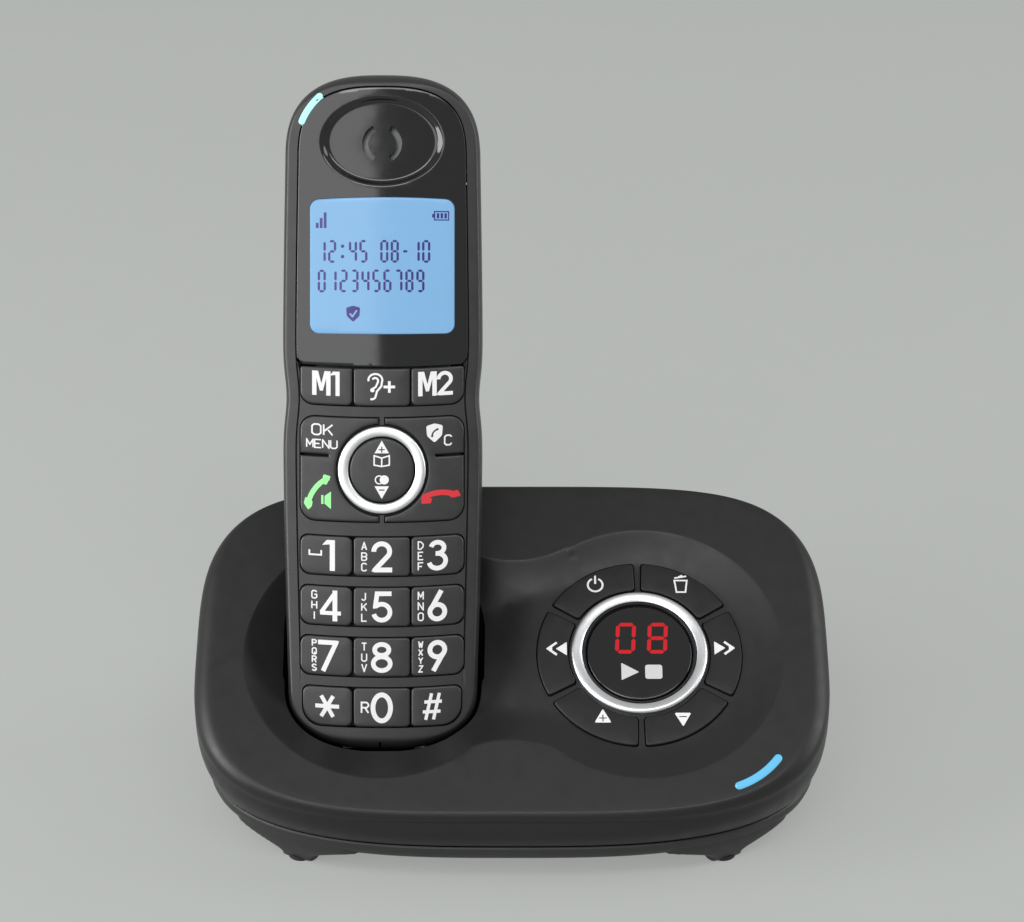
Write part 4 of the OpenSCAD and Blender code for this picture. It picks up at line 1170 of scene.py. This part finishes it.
points, faces, rims = sheet(back_outline, ringer_slots + [door_window], [], 2.4, back_place)
carry_on(points, faces, rims[0], [ring[::-1] for ring in reversed(rear_rings)])
rear_cuts = []
for x, z in ((-20, 30), (20, 30), (-20, 146), (20, 146)):
    rear_cuts.append(prism(round_loop(x, z, 2.25, 15), at_depth(12), at_depth(30)))
for x in (-9, 9):
    pad_slot = [(x - 2.55, 12.4), (x + 2.55, 12.4), (x + 2.55, 15.6), (x - 2.55, 15.6)]
    rear_cuts.append(prism(pad_slot, at_height(-1), at_height(3)))
make("handset_rear_shell", points, faces, in_handset, handset_black, "handset",
     ["handset_rear_cover"], wall=1.1, cuts=rear_cuts)
bay_half = 11.6
bay_low = door_low + 2
bay_high = door_high - 2
bay_middle = (bay_low + bay_high) / 2
bay_rim = [(-bay_half, bay_low), (bay_half, bay_low), (bay_half, bay_high), (-bay_half, bay_high)]
points, faces, rims = sheet(bay_rim, [], [], 0, lambda u, v: Vector((-u, 11.9, v)))
bay_side = [Vector((-u, 23.4, v)) for u, v in bay_rim]
bay_flange = [Vector((-u * 1.13, 23.45, bay_middle + (v - bay_middle) * 1.07)) for u, v in bay_rim]
carry_on(points, faces, rims[0], [bay_side, bay_flange])
make("battery_bay", points, faces, in_handset, handset_black, "handset", wall=0.8)

door_gap = 0.2
door_outline = rounded_outline(-door_half + door_gap, door_half - door_gap, door_low + door_gap,
                               door_high - door_gap, (2.0,) * 4, False)
points, faces, rims = sheet(shrink(door_outline, 0.4), [], [], 2.2, back_place)
door_rings = []
for inset, down in ((0.2, 0.06), (0.06, 0.2), (0, 0.45), (0, 1.55)):
    door_rings.append([back_place(u, v, down) for u, v in shrink(door_outline, inset)])
last = carry_on(points, faces, rims[0], door_rings)
faces.append(tuple(reversed(last)))
make("battery_door_cover", points, faces, in_handset, handset_black, "battery_door_piece",
     ["battery_door"])


def repeated(name, points, faces, place, material, body, count, step):
    """Repeats one small piece along a straight line with geometry nodes; step is in millimetres."""
    made = make(name, points, faces, place, material, body)
    tree = bpy.data.node_groups.new(name + "_row", "GeometryNodeTree")
    tree.interface.new_socket("Geometry", in_out="INPUT", socket_type="NodeSocketGeometry")
    count_in = tree.interface.new_socket("Count", in_out="INPUT", socket_type="NodeSocketInt")
    step_in = tree.interface.new_socket("Step", in_out="INPUT", socket_type="NodeSocketVector")
    finish_in = tree.interface.new_socket("Finish", in_out="INPUT", socket_type="NodeSocketMaterial")
    tree.interface.new_socket("Geometry", in_out="OUTPUT", socket_type="NodeSocketGeometry")
    given = tree.nodes.new("NodeGroupInput")
    line = tree.nodes.new("GeometryNodeMeshLine")
    copies = tree.nodes.new("GeometryNodeInstanceOnPoints")
    real = tree.nodes.new("GeometryNodeRealizeInstances")
    finish = tree.nodes.new("GeometryNodeSetMaterial")
    result = tree.nodes.new("NodeGroupOutput")
    tree.links.new(given.outputs["Count"], line.inputs["Count"])
    tree.links.new(given.outputs["Step"], line.inputs["Offset"])
    tree.links.new(line.outputs["Mesh"], copies.inputs["Points"])
    tree.links.new(given.outputs["Geometry"], copies.inputs["Instance"])
    tree.links.new(copies.outputs["Instances"], real.inputs["Geometry"])
    tree.links.new(real.outputs["Geometry"], finish.inputs["Geometry"])
    tree.links.new(given.outputs["Finish"], finish.inputs["Material"])
    tree.links.new(finish.outputs["Geometry"], result.inputs["Geometry"])
    row = made.modifiers.new("row", "NODES")
    row.node_group = tree
    row[count_in.identifier] = count
    row[step_in.identifier] = place.to_3x3() @ Vector(step)
    row[finish_in.identifier] = material
    settle(made)
    return made


def rib(half_u, half_v, proud):
    """A pillow-shaped rib about its own middle, rising from zero to proud."""
    middle_u = half_u - half_v
    line = arc(middle_u, 0, half_v, half_v, -90, 90, 15) + arc(-middle_u, 0, half_v, half_v, 90, 270, 15)
    points = [Vector((u, v, -0.3)) for u, v in line]
    faces = [tuple(range(len(line) - 1, -1, -1))]
    rings = []
    for turn in (0, 20, 40, 60, 75):
        a = math.radians(turn)
        ring = []
        for u, v in line:
            pulled_in = min(abs(u), half_v * (1 - math.cos(a)))
            ring.append(Vector((u - math.copysign(pulled_in, u), v * math.cos(a), proud * math.sin(a))))
        rings.append(ring)
    last = carry_on(points, faces, list(range(len(line))), rings, inward=True)
    faces.append(tuple(last))
    return points, faces


# Nine raised ribs give the thumb a hold on the door's lower end
rib_points, rib_faces = rib(5.2, 0.42, 0.32)
rib_low = door_low + 4.2
rib_points = [Vector((-p.x, back_y - 0.03 + p.z, rib_low + p.y)) for p in rib_points]
repeated("battery_door_grip", rib_points, rib_faces, in_handset, handset_black, "battery_door_piece",
         9, (0, 0, 1.35))

# ---- Fascia, earpiece and display -----------------------------------------------------------------
# A gloss black fascia is bonded into the front cover. It carries the oval earpiece dish with
# its C-shaped sound slots, and frames the clear lens over the blue-lit liquid crystal display.
ear_z = handset_length - 17.2
dish_half_x = 15.7
dish_half_z = 11.35
lens_half = 18.1
lens_low = 104.8
lens_high = 138.2
fascia_outline = [(x, z) for x, z in inset_outline(3.62) if z > bend(x, fascia_low) + 0.2]
fascia_outline = from_low_right(fascia_outline)
low_half = fascia_outline[0][0]
bottom_edge = [(-low_half + 2 * low_half * i / 30, 0) for i in range(1, 30)]
fascia_outline += [(x, bend(x, fascia_low) + 0.2) for x, _ in bottom_edge]


def ear_oval(part):
    """The earpiece dish's oval, at a part of its full size."""
    line = arc(0, 0, dish_half_x * part, dish_half_z * part, 0, 360, 4)[:-1]
    return [(x, ear_z + z) for x, z in line]


ear_rings = ((0.985, 0.06), (0.965, 0.2), (0.945, 0.42), (0.925, 0.68), (0.905, 0.92), (0.885, 1.1),
             (0.865, 1.2), (0.84, 1.25), (0.8, 1.28))


def under_face(x, z, deep):
    """A point at a depth under the crowned face."""
    return Vector((x, crown(x) + deep, z))


def ear_floor(x, z):
    """The dish's floor, which sinks a little further towards its middle."""
    out = math.hypot(x / dish_half_x, (z - ear_z) / dish_half_z)
    return 1.28 + 0.25 * blend(-0.8, -0.1, -out)


def lens_edge(grow):
    """The display lens's outline, its upper and lower edges bowed outwards."""
    line = rounded_outline(-lens_half - grow, lens_half + grow, lens_low - grow, lens_high + grow,
                           (2.2,) * 4, False)
    lens_middle = 120
    return [(x, z + (0.54 if z > lens_middle else -0.27) * (1 - (x / lens_half) ** 2)) for x, z in line]


ear_slots = []
for side in (0, 180):
    outer_arc = arc(0, ear_z - 0.4, 5.0, 5.0, -62 + side, 62 + side, 6)
    inner_arc = arc(0, ear_z - 0.4, 3.5, 3.5, 62 + side, -62 + side, 6)
    ear_slots.append(outer_arc + inner_arc)
points, faces, rims = sheet(shrink(fascia_outline, 0.22), [lens_edge(0.12), ear_oval(1)], [], 1.8,
                            lambda x, z: under_face(x, z, 0))
dish_rings = [[under_face(x, z, deep) for x, z in ear_oval(part)] for part, deep in ear_rings]
last = carry_on(points, faces, rims[2], dish_rings, inward=True)
floor_rim = [(points[i].x, points[i].z) for i in last]
floor_points, floor_faces, _ = sheet(floor_rim, ear_slots, [], 1.4,
                                     lambda x, z: under_face(x, z, ear_floor(x, z)), len(points))
points += floor_points
faces += floor_faces
fascia_rings = [[under_face(x, z, down) for x, z in shrink(fascia_outline, inset)]
                for inset, down in ((0.1, 0.04), (0.03, 0.12), (0, 0.25), (0, 0.9))]
carry_on(points, faces, rims[0], fascia_rings)
gloss_black = moulded("gloss_black_fascia", "#101011", 0.09, 0.6, 0.0006, coat=0.2,
                      shift=0.05, spread=0.02)
make("gloss_fascia", points, faces, in_handset, gloss_black, "handset", ["front_fascia"],
     wall=0.9)

points, faces = button(lens_edge(0), [(0.3, 0), (0.15, 0.05), (0.04, 0.15), (0, 0.3)], 0.9,
                       under_face, 2.5)
display_glow = glowing("display_blue_glow", "#87B7E0", "#3A5872", 0.74, 0.16, 0.02)
make("display_window", points, faces, in_handset, display_glow, "handset",
     ["display_lens"])
crystal_ink = moulded("liquid_crystal_dark", "#2C2270", 0.3, 0.3, 0.001, shift=0.04)


def on_lens(x, z):
    """A print's place, a hair over the lens."""
    return handset_to_base @ Vector((x, crown(x) - 0.02, z))


def lcd_text(marks, x, z, width, height, pitch, bar):
    """A line of seven-segment marks; a colon is two dots."""
    shapes = []
    for i, mark in enumerate(marks):
        u = x + i * pitch
        if mark == ":":
            shapes += moved_shapes([round_loop(0, dot, bar * 0.75, 30) for dot in (-1.3, 1.3)], u, z)
        elif mark != " ":
            shapes += moved_shapes(segments(digit_bars[mark], width, height, bar), u, z)
    return shapes


def box_shape(x0, z0, x1, z1):
    """A plain box's outline, from the lower left anticlockwise."""
    return [(x0, z0), (x1, z0), (x1, z1), (x0, z1)]


picture = lcd_text("12:45 08-10", -15.1, 125.2, 2.05, 5.7, 2.62, 0.6)
picture += lcd_text("0123456789", -15.1, 117.8, 2.05, 5.7, 2.75, 0.6)
for i, tall in enumerate((1.3, 2.5, 3.9)):
    x = -16.6 + i * 1.0
    picture.append(box_shape(x, 131.1, x + 0.7, 131.1 + tall))
picture += stroke(box_shape(13.2, 133.1, 16.7, 135.2), 0.3, True)
picture.append(box_shape(12.6, 133.7, 13.1, 134.6))
for i in range(3):
    x = 13.75 + i * 0.95
    picture.append(box_shape(x, 133.5, x + 0.62, 134.8))
shield = soft_polygon([(-1.75, 1.5), (0, 2.0), (1.75, 1.5), (1.6, -0.6), (0, -2.1), (-1.6, -0.6)], 0.4)
receiver = stroke(arc(1.1, -0.9, 1.75, 1.75, 170, 100, 14), 0.42)
receiver += [[(-1.0, -1.05), (-0.35, -1.15), (-0.3, -0.45), (-0.75, -0.4)],
             [(0.5, 0.5), (1.1, 0.75), (1.0, 1.2), (0.35, 1.05)]]
tick = stroke([(-0.85, 0.05), (-0.2, -0.75), (0.95, 0.85)], 0.42)
picture += moved_shapes([shield], -7.2, 109.6)
print_ink("display_picture", picture, moved_shapes(tick, -7.2, 109.6), on_lens, crystal_ink,
          "handset", thick=0.03)

points, faces = button(bent_bar(-4.5, handset_length - 18.7, 17, 0.85, 131, 157),
                       [(0.25, 0), (0.12, 0.05), (0.03, 0.14), (0, 0.28)], 2.5,
                       lambda x, z, d: Vector((x, face_y(x, z) - 0.25 + d, z)), 1.5)
pale_glow = glowing("pale_light_glow", "#B9FFF5", "#5F8682", 0.85)
make("handset_charge_light", points, faces, in_handset, pale_glow, "handset",
     ["handset_light_pipe"])

# ---- Handset keys -------------------------------------------------------------------------------------
# Hard black caps glued on a rubber mat. Each row is one smile-shaped window filled by three
# caps that nearly touch, with softly rounded edges and legends printed in white.
cap_profile = [(0.55, 0.0), (0.36, 0.03), (0.18, 0.11), (0.06, 0.25), (0, 0.5)]
key_plastic = moulded("handset_key_black", "#262626", 0.36, 0.22, 0.004, shift=0.05, spread=0.04)
columns = [(-outer_x, -column_half - key_gap_x), (-column_half, column_half),
           (column_half + key_gap_x, outer_x)]
key_proud = 0.45


def handset_cap(name, body, node, shape):
    """One of the handset's key caps, crowned with the face and a little proud of it."""
    points, faces = button(shape, cap_profile, 2.9, lambda x, z, d: under_face(x, z, d - key_proud), 2.2)
    make(name, points, faces, in_handset, key_plastic, body, [node])


digit_rows = [("1", "2", "3"), ("4", "5", "6"), ("7", "8", "9"), ("star", "0", "hash")]
for row, names in enumerate(digit_rows):
    for column, name in enumerate(names):
        x0, x1 = columns[column]
        outer_low, _, _, outer_top = row_corners[row]
        x0 += row_tapers[row] if column == 0 else 0
        x1 -= row_tapers[row] if column == 2 else 0
        corners = [1.1, 1.1, 1.1, 1.1]
        if column == 0:
            corners = [outer_low, 1.8, 1.8, outer_top]
        if column == 2:
            corners = [1.1, outer_low, outer_top, 1.1]
        handset_cap("cap_" + name, "key_" + name + "_button", "key_" + name,
                    rounded_outline(x0, x1, row_low(row), row_low(row) + key_height, corners))
for column, name in enumerate(("memory_1", "louder", "memory_2")):
    x0, x1 = columns[column]
    corners = [(3.2, 1.4, 0.6, 0.7), (1.2, 1.2, 0.6, 0.6), (1.4, 3.2, 0.7, 0.6)][column]
    handset_cap("cap_" + name + "_key", "key_" + name + "_button", "key_" + name,
                rounded_outline(x0, x1, memory_z, memory_z + memory_h, corners))
for side, name in ((-1, "ok_and_talk"), (1, "clear_and_end")):
    handset_cap("cap_" + name, "key_" + name + "_rocker", "key_" + name, block_half(side, 0.25))


def nav_dome(x, z, down):
    """A point at a depth under the navigation key's domed top."""
    return Vector((x, -0.5 + 0.0025 * (x * x + (z - nav_z) ** 2) + down, z))


points, faces = button(round_loop(0, nav_z, 8.1, 4),
                       [(0.7, 0), (0.45, 0.04), (0.2, 0.16), (0.05, 0.38), (0, 0.7)], 3.6, nav_dome, 2.5)
make("cap_navigation", points, faces, in_handset, key_plastic, "navigation_rocker",
     ["navigation_key"])
nav_profile = [(11.05, 1.1), (11.05, 0.1), (10.95, -0.25), (10.7, -0.48), (10.3, -0.58),
               (9.0, -0.5), (8.65, -0.38), (8.42, -0.1), (8.38, 1.1)]
points, faces = turned(nav_profile, lambda x, y, depth: Vector((x, depth, nav_z - y)))
make("navigation_bright_ring", points, faces, in_handset, satin_metal, "handset",
     ["navigation_ring"])

# Legends. Large figures are drawn about their own middle, 7.7 mm high
figure = {
    "1": stroke([(0.65, 3.85), (0.65, -3.85)], 1.3)
    + [[(-1.9, 2.55), (0.1, 2.75), (0.1, 3.85), (-0.75, 3.85)]],
    "2": stroke(arc(0, 1.35, 1.98, 1.9, 183, -34, 10) + [(-1.75, -3.3), (2.6, -3.3)], 1.2),
    "3": stroke(arc(0.05, 1.85, 1.62, 1.4, 168, -90, 12) + [(-0.45, 0.45)], 1.15)
    + stroke([(-0.45, 0.45)] + arc(0, -1.4, 2.08, 1.85, 90, -168, 12), 1.15),
    "4": stroke([(1.25, 3.85), (1.25, -3.85)], 1.2) + stroke([(-2.5, -1.85), (2.75, -1.85)], 0.98)
    + stroke([(1.35, 3.4), (-2.2, -1.75)], 1.0),
    "5": stroke([(2.45, 3.35), (-1.15, 3.35), (-1.6, 0.25)] + arc(0, -1.25, 2.05, 2.0, 128, -165, 10), 1.15),
    "6": stroke(arc(0, -1.55, 1.85, 1.8, 0, 360, 10)[:-1], 1.2, True)
    + stroke([(1.0, 3.75), (-1.55, -0.75)], 1.2),
    "7": stroke([(-2.6, 3.35), (1.95, 3.35), (-1.35, -3.85)], 1.15),
    "8": stroke(arc(0, 1.9, 1.78, 1.37, 0, 360, 10)[:-1], 1.15, True)
    + stroke(arc(0, -1.55, 2.12, 1.72, 0, 360, 10)[:-1], 1.15, True),
    "9": stroke(arc(0, 1.55, 1.85, 1.8, 0, 360, 10)[:-1], 1.2, True)
    + stroke([(-1.0, -3.75), (1.55, 0.75)], 1.2),
    "0": stroke(arc(0, 0, 2.2, 3.25, 0, 360, 8)[:-1], 1.2, True),
    "star": [shape for a in (0, 60, 120) for shape in stroke(
        [(3 * math.cos(math.radians(a)), 3 * math.sin(math.radians(a))),
         (-3 * math.cos(math.radians(a)), -3 * math.sin(math.radians(a)))], 0.98)],
    "hash": [shape for line in ([(-1.7, -3.45), (-0.15, 3.45)], [(0.35, -3.45), (1.9, 3.45)],
                                [(-2.45, -1.35), (2.2, -1.35)], [(-2.05, 1.25), (2.55, 1.25)])
             for shape in stroke(line, 0.85)],
}
# Small letters on a grid four wide and six high; a bar between strokes
letter = {
    "A": "00 26 40|12 32", "B": "00 06 36 45 44 33 03|33 42 41 30 00", "C": "45 36 16 05 01 10 30 41",
    "D": "00 06 26 44 42 20 00", "E": "46 06 00 40|03 33", "F": "46 06 00|03 33",
    "G": "45 36 16 05 01 10 30 41 43 23", "H": "00 06|40 46|03 43", "I": "20 26", "J": "36 31 20 10 01",
    "K": "00 06|46 02|23 40", "L": "06 00 40", "M": "00 06 22 46 40", "N": "00 06 40 46",
    "O": "10 01 05 16 36 45 41 30 10", "P": "00 06 36 45 44 33 03", "Q": "10 01 05 16 36 45 41 30 10|22 40",
    "R": "00 06 36 45 44 33 03|23 40", "S": "45 36 16 05 04 42 41 30 10 01", "T": "06 46|26 20",
    "U": "06 01 10 30 41 46", "V": "06 20 46", "W": "06 10 24 30 46", "X": "00 46|06 40",
    "Y": "06 23 46|23 20", "Z": "06 46 00 40",
}


def letters(word, x, z, height, pitch_x=0.0, pitch_z=0.0, bar=0.3, wide=0.62):
    """A word of small letters about x and z, each letter stepped along or down from the last."""
    shapes = []
    unit_x = height * wide / 4
    unit_z = height / 6
    for i, mark in enumerate(word):
        step = i - (len(word) - 1) / 2
        for run in letter[mark].split("|"):
            line = [(x + step * pitch_x + (int(p[0]) - 2) * unit_x,
                     z - step * pitch_z + (int(p[1]) - 3) * unit_z) for p in run.split()]
            shapes += stroke(line, bar)
    return shapes


column_x = (-13.4, 0.0, 13.9)
own_x = {"1": -13.05, "4": -13.0, "star": -13.7, "hash": 12.6}
small_words = {"2": "ABC", "3": "DEF", "4": "GHI", "5": "JKL", "6": "MNO", "7": "PQRS", "8": "TUV",
               "9": "WXYZ"}


def on_key(x, z):
    """A print's place, a hair over the handset's keys."""
    return handset_to_base @ Vector((x, crown(x) - key_proud - 0.03, bend(x, z)))


for row, names in enumerate(digit_rows):
    for column, name in enumerate(names):
        middle_z = row_low(row) + key_height / 2
        place_x = own_x.get(name, column_x[column])
        size = 0.95 if name == "hash" else 1.0
        inked = moved_shapes(figure[name], place_x, middle_z, size)
        if name in small_words:
            word = small_words[name]
            tall, pitch = (1.5, 2.05) if len(word) == 4 else (1.85, 2.62)
            inked += letters(word, (-16.95, -4.4, 9.75)[column], middle_z, tall, 0, pitch, 0.32, 0.66)
        if name == "1":
            inked += stroke([(-18.2, 50.1), (-18.2, 48.9), (-15.2, 48.9), (-15.2, 50.1)], 0.42)
        if name == "0":
            inked += letters("R", -4.2, middle_z, 2.6, 0, 0, 0.42, 0.66)
        print_ink("legend_" + name, inked, [], on_key, white_ink, "key_" + name + "_button")

memory_middle = memory_z + 5.35
big_m = [[(0, -3.05), (1.1, -3.05), (1.1, 1.2), (1.95, -1.9), (2.7, -1.9), (3.55, 1.2), (3.55, -3.05),
          (4.65, -3.05), (4.65, 3.05), (3.15, 3.05), (2.325, -0.1), (1.5, 3.05), (0, 3.05)]]
for mark, m_x, mark_x, size in (("1", -17.5, -11.6, 0.79), ("2", 9.1, 15.75, 0.78)):
    inked = moved_shapes(big_m, m_x, memory_middle) + moved_shapes(figure[mark], mark_x, memory_middle, size)
    print_ink("legend_memory_" + mark, inked, [], on_key, white_ink, "key_memory_" + mark + "_button")
ear_line = arc(-1.6, 93.1, 1.75, 1.55, 190, -20, 12) + [(-0.1, 91.6), (-1.2, 90.3), (-1.5, 89.1)]
ear_line += arc(-2.5, 89.2, 1.0, 0.9, 0, -110, 20)
inner_ear = arc(-1.65, 92.9, 0.75, 0.75, 150, -30, 20) + [(-1.5, 91.4), (-2.3, 90.9)]
ear_mark = stroke(ear_line, 0.5) + stroke(inner_ear, 0.5) + [round_loop(-2.35, 90.6, 0.55, 30)]
ear_plus = stroke([(0.45, 91.4), (3.35, 91.4)], 0.68) + stroke([(1.9, 89.95), (1.9, 92.85)], 0.68)
print_ink("legend_louder", ear_mark + ear_plus, [], on_key, white_ink, "key_louder_button")
menu_words = letters("OK", -14.95, 80.3, 2.6, 2.95, 0, 0.4, 0.85)
menu_words += letters("MENU", -15.05, 76.75, 2.0, 2.02, 0, 0.34, 0.8)
print_ink("legend_ok_and_menu", menu_words, [], on_key, white_ink, "key_ok_and_talk_rocker")
clear_mark = moved_shapes([shield], 13.2, 79.6, 1.18) + letters("C", 16.6, 77.6, 2.4, 0, 0, 0.38, 0.72)
print_ink("legend_clear", clear_mark, moved_shapes(receiver, 13.2, 79.6, 0.95), on_key, white_ink,
          "key_clear_and_end_rocker")
green_ink = moulded("green_ink", "#8FE78F", 0.45, 0.2, 0.002, shift=0.03)
red_ink = moulded("red_ink", "#C6202A", 0.45, 0.2, 0.002, shift=0.03)
handset_mark = stroke(arc(-9.1, 59.7, 9.6, 9.6, 163, 116, 8), 1.25)
mouthpiece = [(-19.2, 63.2), (-17.35, 62.2), (-17.6, 60.9), (-18.5, 60.0), (-19.6, 61.6)]
handset_mark += [soft_polygon(mouthpiece, 0.3),
                 soft_polygon([(-14.6, 69.15), (-12.8, 68.7), (-13.9, 66.5), (-15.2, 66.9)], 0.3)]
speaker_mark = [box_shape(-15.2, 61.7, -14.65, 63.9),
                [(-14.35, 61.8), (-12.75, 60.5), (-12.75, 64.9), (-14.35, 63.7)]]
print_ink("legend_talk", handset_mark + speaker_mark, [], on_key, green_ink, "key_ok_and_talk_rocker")
hang_up = stroke(arc(14.75, 55.6, 9.0, 9.0, 119, 64, 8), 1.35)
hang_up += [soft_polygon([(9.95, 63.9), (9.95, 61.95), (12.3, 62.0), (12.6, 63.2)], 0.3),
            soft_polygon([(19.0, 65.0), (19.8, 63.4), (17.3, 63.1), (16.7, 64.3)], 0.3)]
print_ink("legend_end", hang_up, [], on_key, red_ink, "key_clear_and_end_rocker")
up_mark = [[(-1.8, 74.6), (1.8, 74.6), (0, 77.8)]]
up_plus = stroke([(-0.75, 75.5), (0.75, 75.5)], 0.3) + stroke([(0, 74.75), (0, 76.25)], 0.3)
down_mark = [[(1.8, 66.35), (-1.8, 66.35), (0, 63.2)]]
down_minus = stroke([(-0.7, 65.4), (0.7, 65.4)], 0.3)
book = stroke([(0, 71.3), (-1.9, 71.65), (-1.9, 74.0), (0, 73.4), (1.9, 74.0), (1.9, 71.65), (0, 71.3)], 0.36)
book += stroke([(0, 71.3), (0, 73.4)], 0.36)
circles = stroke(round_loop(-0.62, 67.95, 1.0, 24), 0.3, True) + [round_loop(0.62, 67.95, 1.15, 24)]
print_ink("legend_navigation", up_mark + down_mark + book + circles, up_plus + down_minus,
          lambda x, z: handset_to_base @ nav_dome(x, z, -0.03), white_ink, "navigation_rocker")

# ---- Inside the handset -----------------------------------------------------------------------------------
# The bought-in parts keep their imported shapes: cells, display glass and its diffuser, and
# the foam gasket that seals the earpiece.
paint(moulded("green_cell_wrap", "#3F7A55", 0.35, 1.2, 0.004, coat=0.4, shift=0.12), "battery_cells")
paint(moulded("display_glass_blue", "#7FB2E6", 0.2, 0.8, 0.002), "display_module")
paint(moulded("white_diffuser", "#E6EAEE", 0.6, 0.4, 0.004), "display_backlight")
paint(moulded("grey_foam_gasket", "#3A3A3B", 0.85, 0.6, 0.05, shift=0.2), "earpiece_gasket")
